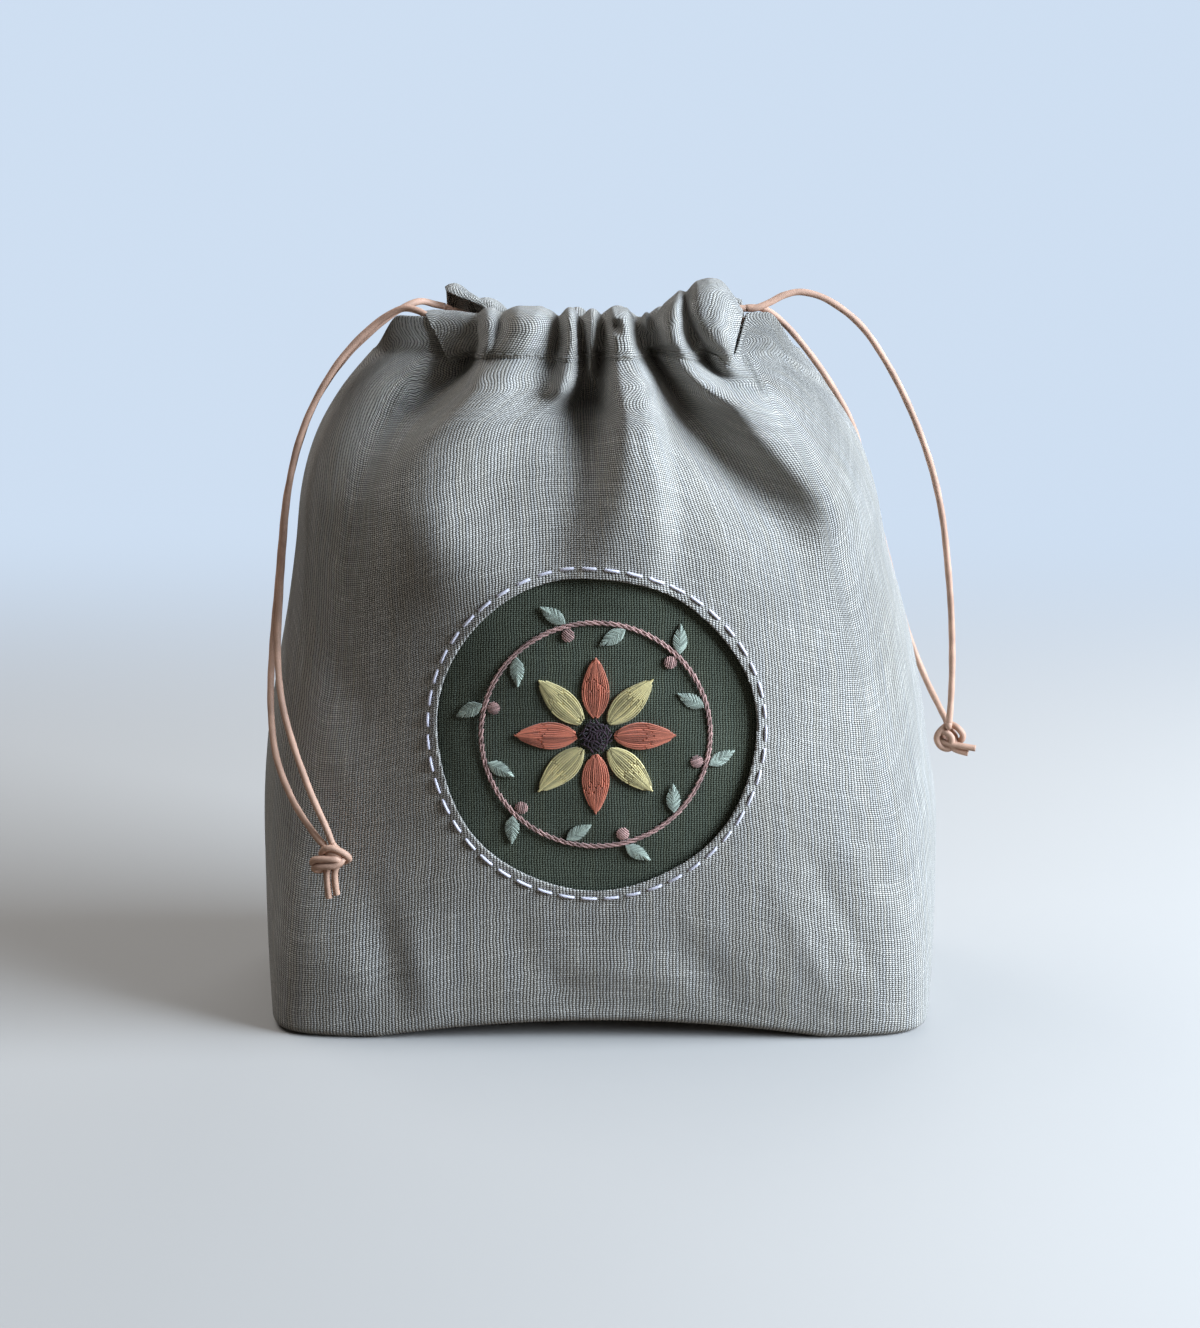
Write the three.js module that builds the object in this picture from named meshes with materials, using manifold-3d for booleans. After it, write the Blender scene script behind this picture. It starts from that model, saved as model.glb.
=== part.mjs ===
// Drawstring bag of two linen panels on a boxed base, cinched at the neck by two leather drawcords.
// A round window cut in the front panel shows a green patch behind it, edged with running stitch
// and filled with an embroidered star in a wreath. Millimetres, +Z up, front towards -Y, +X to the
// right of someone facing the front. The origin is the middle of the underside of the base.
import * as THREE from 'three';
import { mergeVertices } from 'three/addons/utils/BufferGeometryUtils.js';
import Module from 'manifold-3d';

// Cloth walls and the clearances between layers
const LINEN_WALL = 0.9;
const PATCH_WALL = 0.7;
const LINING_WALL = 0.6;
const LINING_SLACK = 0.6;
const LAYER_GAP = 0.4;
const TOUCH_GAP = 0.3;

// Body of the bag: half widths and half depths at the belly and at the neck
const BELLY_HALF_WIDTH = 102.9;
const BELLY_HALF_DEPTH = 52.5;
const NECK_LEFT = 67.5;
const NECK_RIGHT = 59.5;
const NECK_HALF_DEPTH = 13.5;
const WALL_HEIGHT = 199.5;
const BASE_ROUNDING = 4.5;
const BASE_SEAM_REACH = 0.72;
const BASE_THREAD_BACKOFF = 2;
const LINING_DROP = 4;
const NECK_SQUARENESS = 2.2;
const BASE_SQUARENESS = 5;
const SQUARENESS_FADE = 4;

// How far each section has swelled from the neck's size, 0, to the belly's size, 1:
// height, left half width, right half width, half depth
const SWELL = [
  [0, 0.9, 0.92, 0.9],
  [20, 0.945, 0.965, 0.955],
  [40, 0.98, 0.99, 0.985],
  [62, 1, 1, 1],
  [80, 0.97, 0.94, 1],
  [95, 0.91, 0.89, 0.99],
  [110, 0.83, 0.82, 0.98],
  [125, 0.75, 0.73, 0.95],
  [141, 0.68, 0.62, 0.89],
  [160, 0.61, 0.52, 0.75],
  [175, 0.48, 0.39, 0.56],
  [188, 0.27, 0.2, 0.29],
  [199.5, 0, 0, 0],
];

// Gathers: place across the neck, place of the foot, height of the foot, rise, width at the neck
// and width at the foot
const FRONT_GATHERS = [
  [-40, -66, 150, 3.6, 4.5, 8],
  [-30, -60, 158, 2.6, 3, 6],
  [-19, -52, 138, 6, 4.6, 9],
  [-9, -14, 170, 3.6, 3, 5],
  [-1, -2, 172, 2.6, 2.8, 5],
  [6, 11, 138, 5.6, 4.2, 10],
  [18, 30, 160, 4.6, 3.8, 7],
  [34, 64, 146, 5.2, 6.5, 11],
];
const BACK_GATHERS = [
  [-42, -64, 148, 2.6, 4.5, 8],
  [-29, -45, 140, 3.2, 4.4, 9],
  [-16, -20, 158, 2.4, 3.4, 6],
  [-4, -3, 136, 3.4, 4.4, 10],
  [9, 16, 160, 2.6, 3.6, 7],
  [22, 38, 142, 3.2, 4.6, 9],
  [36, 60, 150, 2.6, 4.6, 8],
];
const GATHER_ONSET = 1.4;

// Casings, the sewn tunnels that the cords run through
const CASING_LEFT = -46;
const CASING_RIGHT = 42;
const CASING_HEIGHT = 15.2;
const CASING_WALL = 0.7;
const CASING_FOOT = 2;
const CORD_PLAY = 0.4;
const CASING_EASE = 0.2;
const CASING_PUFF = 1.3;
const BACK_DROP = 3;

// Where the top edge lifts: place across the neck, width and lift
const FRONT_LIFTS = [[34, 11, 6]];
const BACK_LIFTS = [[-48, 12, 5], [46, 12, 5]];

// Drawcords, their knots and cut ends
const CORD_DIAMETER = 2;
const CORD_LOWER = 6;
const CORD_STEP_UP = 2.6;
const BIGHT_REACH = 7;
const CORD_STRAIGHT = 1.5;
const KNOT_LENGTH = 11;
const KNOT_THICKNESS = 8.4;

// Round window, its stitched edge and its embroidery
const WINDOW_X = -1.3;
const WINDOW_Z = 94.5;
const WINDOW_RADIUS = 46;
const PATCH_MARGIN = 5;
const STITCH_SETBACK = 2.5;
const STITCH_COUNT = 46;
const STITCH_RADIUS = 0.45;
const THREAD_RADIUS = 0.25;
const STITCH_CLEARANCE = 0.15;
const EMBROIDERY_HEIGHT = 0.8;
const EMBROIDERY_CROWN = 0.3;
const MOTIF_GAP = 0.2;
const STAR_RAYS = 8;
const STAR_EYE_RADIUS = 4.6;
const STAR_RAY_LENGTH = 19;
const STAR_RAY_WIDTH = 8;
const WREATH_RADIUS = 33;
const WREATH_STEM_RADIUS = 0.5;
const LEAF_COUNT = 12;
const LEAF_LENGTH = 8.4;
const LEAF_WIDTH = 4;
const LEAF_TAPER = 0.8;
const LEAF_LEAN = 0.75;
const BERRY_COUNT = 6;
const BERRY_RADIUS = 1.7;

// Fineness of the facets
const FRONT_COLUMNS = 36;
const BACK_COLUMNS = 28;
const LINING_COLUMNS = 14;
const BASE_ROWS = 2;
const ROUNDING_ROWS = 3;
const WALL_ROWS = 11;
const LINING_ROWS = 8;
const ROW_CROWDING = 1.5;
const CASING_STATIONS = 32;
const CORD_SIDES = 8;
const THREAD_SIDES = 4;

// Routes of the four tails, from the casing's end to the knot
const LEFT_FRONT_TAIL = [
  [-46.4, -11.9, 208.4], [-49, -11.8, 209.2], [-53, -10.2, 211.4], [-58.4, -8.6, 211.6],
  [-67, -8, 206.2], [-76.2, -10, 196.6], [-83.8, -12, 184.4], [-89, -14, 171.4],
  [-92, -16, 157], [-93.4, -19, 142.2], [-94.4, -22, 128], [-94.8, -27, 113.9],
  [-93.2, -34, 100.8], [-89.4, -40.4, 89], [-84, -46.2, 76], [-79.6, -49.6, 67], [-77.4, -50.8, 61.5],
];
const LEFT_BACK_TAIL = [
  [-46.4, 11.9, 210.3], [-49.4, 11.5, 211], [-54, 8, 212.2], [-60, 5, 209.8],
  [-67, 4, 204.6], [-76, 3, 196], [-84.4, 2, 184.2], [-89.6, 0, 171.9],
  [-93.4, -4, 157], [-95, -8.5, 143], [-96.2, -12.5, 128.6], [-97.6, -18, 111.9],
  [-97.6, -25.4, 96.6], [-95.4, -33.6, 83.5], [-90, -41.6, 72.6], [-83.6, -47.6, 64.6], [-79.8, -50.2, 61],
];
const RIGHT_FRONT_TAIL = [
  [42.4, -8.8, 211.9], [45.4, -8.8, 212], [49.6, -8, 213.6], [53.8, -7, 215.6], [59.4, -5.8, 216.3],
  [67.3, -5, 213.6], [77, -4, 206], [85.7, -3.4, 193.6], [92.8, -2.8, 180],
  [98.8, -2.4, 164.8], [102.8, -2, 149.3], [105.3, -1.6, 132.3], [106.9, -1.4, 116.6],
  [107.6, -1.6, 101], [107.4, -2.4, 90], [107, -3.2, 84.5],
];
const RIGHT_BACK_TAIL = [
  [42.4, 8.8, 209.9], [45, 8.9, 210.3], [49.6, 9, 209.6], [56, 9.6, 204.6],
  [63.2, 10.4, 196.2], [70, 11.6, 186.6], [76, 13, 176], [80, 16, 165],
  [84, 20, 152], [87.6, 22.6, 139], [92, 23.6, 124], [96.6, 22, 108],
  [101.6, 15.6, 95], [105.2, 7, 87.6], [106.8, 1, 84.5],
];

const wasm = await Module();
wasm.setup();
const bag = new THREE.Group();

const FINISHES = {
  linen: [0x9a958b, 0.92],
  patch: [0x3c4234, 0.92],
  lining: [0xb9b4a8, 0.9],
  leather: [0xcb9f87, 0.6],
  stitchThread: [0xd9d6e8, 0.75],
  seamThread: [0x8d887e, 0.8],
  rust: [0xc0603f, 0.65],
  straw: [0xd3c377, 0.65],
  sage: [0x9db39a, 0.65],
  rose: [0xb08f86, 0.65],
  aubergine: [0x2a1a24, 0.65],
};

function addNode(name, geometry, finish) {
  const [color, roughness] = FINISHES[finish];
  const material = new THREE.MeshStandardMaterial({ color, roughness, metalness: 0 });
  const mesh = new THREE.Mesh(geometry, material);
  mesh.name = name;
  bag.add(mesh);
}

// Joins loose corners into one closed mesh whose faces point out.
function closedGeometry(corners, triangles) {
  let volume = 0;
  for (const [a, b, c] of triangles) {
    volume += corners[a].dot(corners[b].clone().cross(corners[c])) / 6;
  }
  const faces = volume < 0 ? triangles.map(([a, b, c]) => [a, c, b]) : triangles;
  const geometry = new THREE.BufferGeometry();
  geometry.setAttribute('position', new THREE.Float32BufferAttribute(
    corners.flatMap((corner) => corner.toArray()), 3));
  geometry.setIndex(faces.flat());
  geometry.computeVertexNormals();
  return geometry;
}

// A sheet with thickness: two grids of points, joined around their four edges.
function sheetSolid(outer, inner) {
  const rows = outer.length;
  const columns = outer[0].length;
  const corners = [...outer.flat(), ...inner.flat()];
  const triangles = [];
  const quad = (a, b, c, d) => triangles.push([a, b, c], [a, c, d]);
  const at = (row, column, layer) => layer * rows * columns + row * columns + column;
  for (let row = 0; row + 1 < rows; row += 1) {
    for (let column = 0; column + 1 < columns; column += 1) {
      quad(at(row, column, 0), at(row, column + 1, 0), at(row + 1, column + 1, 0), at(row + 1, column, 0));
      quad(at(row, column, 1), at(row + 1, column, 1), at(row + 1, column + 1, 1), at(row, column + 1, 1));
    }
  }
  for (let row = 0; row + 1 < rows; row += 1) {
    quad(at(row, 0, 0), at(row + 1, 0, 0), at(row + 1, 0, 1), at(row, 0, 1));
    const last = columns - 1;
    quad(at(row, last, 0), at(row, last, 1), at(row + 1, last, 1), at(row + 1, last, 0));
  }
  for (let column = 0; column + 1 < columns; column += 1) {
    quad(at(0, column, 0), at(0, column, 1), at(0, column + 1, 1), at(0, column + 1, 0));
    const last = rows - 1;
    quad(at(last, column, 0), at(last, column + 1, 0), at(last, column + 1, 1), at(last, column, 1));
  }
  return closedGeometry(corners, triangles);
}

// A loop of points swept through stations. Without an inner loop the ends are capped, or the
// stations close on themselves; with one the sweep is a sleeve with open ends.
function sweptSolid(loops, innerLoops, endless) {
  const size = loops[0].length;
  const count = loops.length;
  const corners = [...loops.flat(), ...(innerLoops ? innerLoops.flat() : [])];
  const triangles = [];
  const quad = (a, b, c, d) => triangles.push([a, b, c], [a, c, d]);
  const at = (station, point, layer = 0) => (
    layer * count * size + (station % count) * size + (point % size));
  const spans = endless ? count : count - 1;
  for (let station = 0; station < spans; station += 1) {
    for (let point = 0; point < size; point += 1) {
      quad(at(station, point), at(station, point + 1), at(station + 1, point + 1), at(station + 1, point));
      if (innerLoops) {
        quad(at(station, point, 1), at(station + 1, point, 1),
          at(station + 1, point + 1, 1), at(station, point + 1, 1));
      }
    }
  }
  const last = count - 1;
  for (let point = 0; innerLoops && point < size; point += 1) {
    quad(at(0, point), at(0, point, 1), at(0, point + 1, 1), at(0, point + 1));
    quad(at(last, point), at(last, point + 1), at(last, point + 1, 1), at(last, point, 1));
  }
  for (let point = 1; !innerLoops && !endless && point + 1 < size; point += 1) {
    triangles.push([at(0, 0), at(0, point + 1), at(0, point)]);
    triangles.push([at(last, 0), at(last, point), at(last, point + 1)]);
  }
  return closedGeometry(corners, triangles);
}

function asManifold(geometry) {
  const bare = geometry.clone();
  bare.deleteAttribute('normal');
  bare.deleteAttribute('uv');
  const merged = mergeVertices(bare, 1e-4);
  return new wasm.Manifold(new wasm.Mesh({
    numProp: 3,
    vertProperties: Float32Array.from(merged.getAttribute('position').array),
    triVerts: Uint32Array.from(merged.getIndex().array),
  }));
}

function fromManifold(solid) {
  const mesh = solid.getMesh();
  const geometry = new THREE.BufferGeometry();
  geometry.setAttribute('position', new THREE.BufferAttribute(mesh.vertProperties, 3));
  geometry.setIndex(new THREE.BufferAttribute(mesh.triVerts, 1));
  geometry.computeVertexNormals();
  return geometry;
}

// A round cord or thread along a smooth route of hand-set points.
function cordGeometry(points, diameter, steps, sides) {
  const route = new THREE.CatmullRomCurve3(points.map((point) => new THREE.Vector3(...point)));
  const section = new THREE.Shape();
  for (let side = 0; side < sides; side += 1) {
    const angle = (2 * Math.PI * side) / sides;
    const x = (diameter / 2) * Math.cos(angle);
    const y = (diameter / 2) * Math.sin(angle);
    if (side === 0) {
      section.moveTo(x, y);
    } else {
      section.lineTo(x, y);
    }
  }
  const settings = { steps, bevelEnabled: false, extrudePath: route };
  return new THREE.ExtrudeGeometry(section, settings);
}

const smooth = (t) => {
  const held = Math.min(1, Math.max(0, t));
  return held * held * (3 - 2 * held);
};

// Smooth reading of one column of SWELL at a height.
function swell(height, column) {
  const scaled = (height / WALL_HEIGHT) * SWELL.at(-1)[0];
  const held = Math.min(SWELL.at(-1)[0], Math.max(0, scaled));
  let index = 0;
  while (index < SWELL.length - 2 && held > SWELL[index + 1][0]) {
    index += 1;
  }
  const slope = (i) => {
    const low = SWELL[Math.max(0, i - 1)];
    const high = SWELL[Math.min(SWELL.length - 1, i + 1)];
    return (high[column] - low[column]) / (high[0] - low[0]);
  };
  const [start, end] = [SWELL[index], SWELL[index + 1]];
  const span = end[0] - start[0];
  const t = (held - start[0]) / span;
  return (2 * t ** 3 - 3 * t ** 2 + 1) * start[column] + (t ** 3 - 2 * t ** 2 + t) * span * slope(index)
    + (3 * t ** 2 - 2 * t ** 3) * end[column] + (t ** 3 - t ** 2) * span * slope(index + 1);
}

// Half width, centre, half depth and squareness of the bag's section at a height.
function section(height) {
  const left = NECK_LEFT + (BELLY_HALF_WIDTH - NECK_LEFT) * swell(height, 1);
  const right = NECK_RIGHT + (BELLY_HALF_WIDTH - NECK_RIGHT) * swell(height, 2);
  const slump = Math.max(0, 1 - height / WALL_HEIGHT) ** SQUARENESS_FADE;
  return {
    half: (left + right) / 2,
    centre: (right - left) / 2,
    depth: NECK_HALF_DEPTH + (BELLY_HALF_DEPTH - NECK_HALF_DEPTH) * swell(height, 3),
    square: NECK_SQUARENESS + (BASE_SQUARENESS - NECK_SQUARENESS) * slump,
  };
}

// How far the gathers push the cloth out at a place x and a height.
function gather(gathers, x, height, across) {
  let push = 0;
  for (const [neckX, footX, footHeight, rise, neckWidth, footWidth] of gathers) {
    const climb = (height - footHeight) / (WALL_HEIGHT - footHeight);
    const held = Math.min(1, Math.max(0, climb));
    const middle = footX + (neckX - footX) * held;
    const width = footWidth + (neckWidth - footWidth) * held;
    push += rise * smooth(climb * GATHER_ONSET) * Math.exp(-(((x - middle) / width) ** 2));
  }
  return push * (1 - Math.min(1, Math.abs(across)) ** 4);
}

// Front and back halves of the body share their rules; facing is -1 for the front, 1 for the back.
const FRONT = { facing: -1, gathers: FRONT_GATHERS, columns: FRONT_COLUMNS, lifts: FRONT_LIFTS, drop: 0 };
const BACK = { facing: 1, gathers: BACK_GATHERS, columns: BACK_COLUMNS, lifts: BACK_LIFTS, drop: BACK_DROP };

// How much higher than WALL_HEIGHT a panel's top edge lies at a place x.
function edgeRise(side, x) {
  return side.lifts.reduce(
    (sum, [place, width, lift]) => sum + lift * Math.exp(-(((x - place) / width) ** 2)), -side.drop);
}

// Distance from the mid plane to the cloth's outer face at a place x and a height.
function bodyDepth(side, x, height) {
  const { half, centre, depth, square } = section(height);
  const across = Math.min(1, Math.abs((x - centre) / half));
  const bare = depth * (1 - across ** square) ** (1 / square);
  return bare + gather(side.gathers, x, height, across);
}

// A point on the outer face of a body half, moved in by an inset along the face's normal.
function onBody(side, x, height, inset) {
  const step = 0.5;
  const point = (px, pz) => new THREE.Vector3(px, side.facing * bodyDepth(side, px, pz), pz);
  const alongX = point(x + step, height).sub(point(x - step, height));
  const alongZ = point(x, height + step).sub(point(x, height - step));
  const normal = alongX.cross(alongZ).normalize();
  if (normal.y * side.facing < 0) {
    normal.negate();
  }
  return point(x, height).addScaledVector(normal, -inset);
}

// Angles around a half section that space the columns evenly at the neck's level.
function columnAngles(columns) {
  const samples = 600;
  const { half, depth, square } = section(WALL_HEIGHT * 0.9);
  const place = (angle) => [
    -half * Math.sign(Math.cos(angle)) * Math.abs(Math.cos(angle)) ** (2 / square),
    depth * Math.sin(angle) ** (2 / square)];
  const lengths = [0];
  for (let i = 1; i <= samples; i += 1) {
    const [x0, y0] = place((Math.PI * (i - 1)) / samples);
    const [x1, y1] = place(Math.min(Math.PI, (Math.PI * i) / samples));
    lengths.push(lengths.at(-1) + Math.hypot(x1 - x0, y1 - y0));
  }
  return Array.from({ length: columns + 1 }, (_, column) => {
    const wanted = (lengths.at(-1) * column) / columns;
    const index = Math.min(samples - 1, Math.max(0, lengths.findIndex((value) => value >= wanted) - 1));
    const part = (wanted - lengths[index]) / (lengths[index + 1] - lengths[index]);
    return (Math.PI * (index + Math.min(1, Math.max(0, part)))) / samples;
  });
}

// Grid of points over one half of the bag: across its half of the base, around the rounding and up
// the wall to the top edge.
function halfGrid(side, columns, wallRows, topOf, gathered) {
  const angles = columnAngles(columns);
  const place = (angle, height, inset) => {
    const { half, centre, depth, square } = section(height);
    const cosine = Math.cos(angle);
    const across = -Math.sign(cosine) * Math.abs(cosine) ** (2 / square);
    const x = centre + (half - inset) * across;
    const push = gathered ? gather(side.gathers, x, height, across) : 0;
    const y = (depth - inset) * Math.max(0, Math.sin(angle)) ** (2 / square) + push;
    return new THREE.Vector3(x, side.facing * (y + TOUCH_GAP / 2), height);
  };
  const rim = (angle) => {
    const point = place(angle, 0, BASE_ROUNDING);
    point.z = 0;
    return point;
  };
  const { half, centre } = section(0);
  const rows = [];
  for (let row = 0; row <= BASE_ROWS; row += 1) {
    rows.push(angles.map((angle, column) => {
      const across = (2 * column) / columns - 1;
      const seam = new THREE.Vector3(
        centre + BASE_SEAM_REACH * half * across, (side.facing * TOUCH_GAP) / 2, 0);
      return seam.lerp(rim(angle), row / BASE_ROWS);
    }));
  }
  for (let row = 1; row <= ROUNDING_ROWS; row += 1) {
    const turn = ((Math.PI / 2) * row) / ROUNDING_ROWS;
    const height = BASE_ROUNDING * (1 - Math.cos(turn));
    rows.push(angles.map((angle) => place(angle, height, BASE_ROUNDING * (1 - Math.sin(turn)))));
  }
  for (let row = 1; row <= wallRows; row += 1) {
    rows.push(angles.map((angle) => {
      const top = topOf(place(angle, WALL_HEIGHT, 0).x);
      const climb = 1 - (1 - row / wallRows) ** ROW_CROWDING;
      return place(angle, BASE_ROUNDING + (top - BASE_ROUNDING) * climb, 0);
    }));
  }
  return rows;
}

// The same grid moved in along its own normals.
function insetGrid(grid, side, inset) {
  const rows = grid.length;
  const columns = grid[0].length;
  return grid.map((line, row) => line.map((point, column) => {
    if (row < BASE_ROWS) {
      return point.clone().setZ(point.z + inset);
    }
    const along = grid[row][Math.min(columns - 1, column + 1)].clone()
      .sub(grid[row][Math.max(0, column - 1)]);
    const up = grid[Math.min(rows - 1, row + 1)][column].clone()
      .sub(grid[Math.max(0, row - 1)][column]);
    const normal = along.cross(up).normalize().multiplyScalar(-side.facing);
    const moved = point.clone().addScaledVector(normal, -inset);
    if (column === 0 || column === columns - 1) {
      moved.y = point.y;
    }
    return moved;
  }));
}

function makePanels() {
  const panel = (side) => {
    const topOf = (x) => WALL_HEIGHT + edgeRise(side, x);
    const outer = halfGrid(side, side.columns, WALL_ROWS, topOf, true);
    return sheetSolid(outer, insetGrid(outer, side, LINEN_WALL));
  };
  const cutter = new THREE.CylinderGeometry(WINDOW_RADIUS, WINDOW_RADIUS, BELLY_HALF_DEPTH, 48);
  cutter.translate(WINDOW_X, -BELLY_HALF_DEPTH, WINDOW_Z);
  const front = asManifold(panel(FRONT)).subtract(asManifold(cutter));
  addNode('front_panel', fromManifold(front), 'linen');
  addNode('back_panel', panel(BACK), 'linen');
}

const LINING_INSET = LINEN_WALL + LAYER_GAP + PATCH_WALL + LAYER_GAP + LINING_SLACK;

function makeLinings() {
  for (const [name, side] of [['front_lining', FRONT], ['back_lining', BACK]]) {
    const topOf = () => WALL_HEIGHT - LINING_DROP - side.drop;
    const outline = halfGrid(side, LINING_COLUMNS, LINING_ROWS, topOf, false);
    const outer = insetGrid(outline, side, LINING_INSET);
    addNode(name, sheetSolid(outer, insetGrid(outline, side, LINING_INSET + LINING_WALL)), 'lining');
  }
}

// A flat motif on the front: an outline in the plane of the window, from one inset to another.
function motif(outline, low, high, crown) {
  const middle = outline.reduce(([x, z], [px, pz]) => [x + px / outline.length, z + pz / outline.length],
    [0, 0]);
  const corners = [
    onBody(FRONT, ...middle, low), onBody(FRONT, ...middle, high - crown),
    ...outline.map(([x, z]) => onBody(FRONT, x, z, low)),
    ...outline.map(([x, z]) => onBody(FRONT, x, z, high)),
  ];
  const triangles = [];
  const count = outline.length;
  for (let i = 0; i < count; i += 1) {
    const [low0, low1] = [2 + i, 2 + ((i + 1) % count)];
    const [high0, high1] = [low0 + count, low1 + count];
    triangles.push([0, low1, low0], [1, high0, high1], [low0, low1, high1], [low0, high1, high0]);
  }
  return closedGeometry(corners, triangles);
}

const inWindow = (radius, angle) => [
  WINDOW_X + radius * Math.cos(angle), WINDOW_Z + radius * Math.sin(angle)];

function makePatch() {
  const radius = WINDOW_RADIUS + PATCH_MARGIN;
  const top = LINEN_WALL + LAYER_GAP;
  const spokes = 30;
  const rings = [0, 0.34, 0.67, 1];
  const corners = [];
  const triangles = [];
  for (const inset of [top, top + PATCH_WALL]) {
    corners.push(onBody(FRONT, WINDOW_X, WINDOW_Z, inset));
    for (const share of rings.slice(1)) {
      for (let spoke = 0; spoke < spokes; spoke += 1) {
        const [x, z] = inWindow(radius * share, (2 * Math.PI * spoke) / spokes);
        corners.push(onBody(FRONT, x, z, inset));
      }
    }
  }
  const layer = 1 + spokes * (rings.length - 1);
  for (let spoke = 0; spoke < spokes; spoke += 1) {
    const next = (spoke + 1) % spokes;
    for (const [start, flip] of [[0, false], [layer, true]]) {
      const push = (a, b, c) => triangles.push(flip ? [a, c, b] : [a, b, c]);
      push(start, start + 1 + spoke, start + 1 + next);
      for (let ring = 0; ring + 2 < rings.length; ring += 1) {
        const inner = start + 1 + ring * spokes;
        const outer = inner + spokes;
        push(inner + spoke, outer + spoke, outer + next);
        push(inner + spoke, outer + next, inner + next);
      }
    }
    const rim = 1 + spokes * (rings.length - 2);
    triangles.push([rim + spoke, layer + rim + spoke, layer + rim + next]);
    triangles.push([rim + spoke, layer + rim + next, rim + next]);
  }
  addNode('window_patch', closedGeometry(corners, triangles), 'patch');
}

// A thread that lies in a ring on the front, with its radius given at each angle.
function threadRing(ringRadius, lift, segments, radiusAt) {
  const loops = [];
  for (let segment = 0; segment < segments; segment += 1) {
    const angle = (2 * Math.PI * segment) / segments;
    const radius = radiusAt(segment);
    const loop = [];
    for (let side = 0; side < THREAD_SIDES; side += 1) {
      const turn = (2 * Math.PI * side) / THREAD_SIDES;
      const [x, z] = inWindow(ringRadius + radius * Math.cos(turn), angle);
      loop.push(onBody(FRONT, x, z, lift - radius * Math.sin(turn)));
    }
    loops.push(loop);
  }
  return sweptSolid(loops, null, true);
}

function makeWindowStitch() {
  const radiusAt = (segment) => (segment % 2 === 0 ? STITCH_RADIUS : THREAD_RADIUS);
  const lift = -(STITCH_RADIUS + TOUCH_GAP);
  const ring = threadRing(WINDOW_RADIUS + STITCH_SETBACK, lift, 2 * STITCH_COUNT, radiusAt);
  addNode('window_running_stitch', ring, 'stitchThread');
}

// Pointed oval outline that starts at a point and lies along an angle.
function leafOutline(startX, startZ, angle, length, width) {
  const half = 6;
  const outline = [];
  for (let i = 0; i < 2 * half; i += 1) {
    const t = i <= half ? i / half : (2 * half - i) / half;
    const bulge = (width / 2) * Math.sin(Math.PI * t ** LEAF_TAPER) * (i <= half ? 1 : -1);
    outline.push([
      startX + length * t * Math.cos(angle) - bulge * Math.sin(angle),
      startZ + length * t * Math.sin(angle) + bulge * Math.cos(angle)]);
  }
  return outline;
}

function makeEmbroidery() {
  const low = LINEN_WALL + LAYER_GAP - TOUCH_GAP;
  const high = low - EMBROIDERY_HEIGHT;
  const crown = EMBROIDERY_CROWN;
  const circle = (x, z, radius, count) => Array.from({ length: count }, (_, i) => {
    const angle = (2 * Math.PI * i) / count;
    return [x + radius * Math.cos(angle), z + radius * Math.sin(angle)];
  });
  addNode('star_eye', motif(circle(WINDOW_X, WINDOW_Z, STAR_EYE_RADIUS, 16), low, high, crown),
    'aubergine');
  for (let ray = 0; ray < STAR_RAYS; ray += 1) {
    const angle = (2 * Math.PI * ray) / STAR_RAYS + Math.PI / 2;
    const [x, z] = inWindow(STAR_EYE_RADIUS + TOUCH_GAP + 2 * MOTIF_GAP, angle);
    const outline = leafOutline(x, z, angle, STAR_RAY_LENGTH, STAR_RAY_WIDTH);
    addNode(`star_ray_${ray + 1}`, motif(outline, low, high, crown), ray % 2 ? 'straw' : 'rust');
  }
  const stemLift = low - WREATH_STEM_RADIUS;
  addNode('wreath_stem', threadRing(WREATH_RADIUS, stemLift, 36, () => WREATH_STEM_RADIUS), 'rose');
  const offset = WREATH_STEM_RADIUS + TOUCH_GAP + MOTIF_GAP;
  for (let leaf = 0; leaf < LEAF_COUNT; leaf += 1) {
    const angle = (2 * Math.PI * (leaf + 0.5)) / LEAF_COUNT + Math.PI / 2;
    const outward = leaf % 2 === 0 ? 1 : -1;
    const [x, z] = inWindow(WREATH_RADIUS + outward * offset, angle);
    const heading = angle + (outward > 0 ? LEAF_LEAN : Math.PI - LEAF_LEAN);
    const outline = leafOutline(x, z, heading, LEAF_LENGTH, LEAF_WIDTH);
    addNode(`wreath_leaf_${leaf + 1}`, motif(outline, low, high, crown), 'sage');
  }
  for (let berry = 0; berry < BERRY_COUNT; berry += 1) {
    const angle = (2 * Math.PI * (berry + 0.25)) / BERRY_COUNT + Math.PI / 2;
    const [x, z] = inWindow(WREATH_RADIUS - offset - BERRY_RADIUS, angle);
    addNode(`wreath_berry_${berry + 1}`, motif(circle(x, z, BERRY_RADIUS, 10), low, high, crown), 'rose');
  }
}

// Middle line of a casing, where its cords run.
const casingY = (side, x) => {
  const { half, centre, depth, square } = section(WALL_HEIGHT);
  return side.facing * depth * (1 - Math.abs((x - centre) / half) ** square) ** (1 / square);
};
const casingFoot = (side, x) => WALL_HEIGHT + TOUCH_GAP + edgeRise(side, x);

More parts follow.
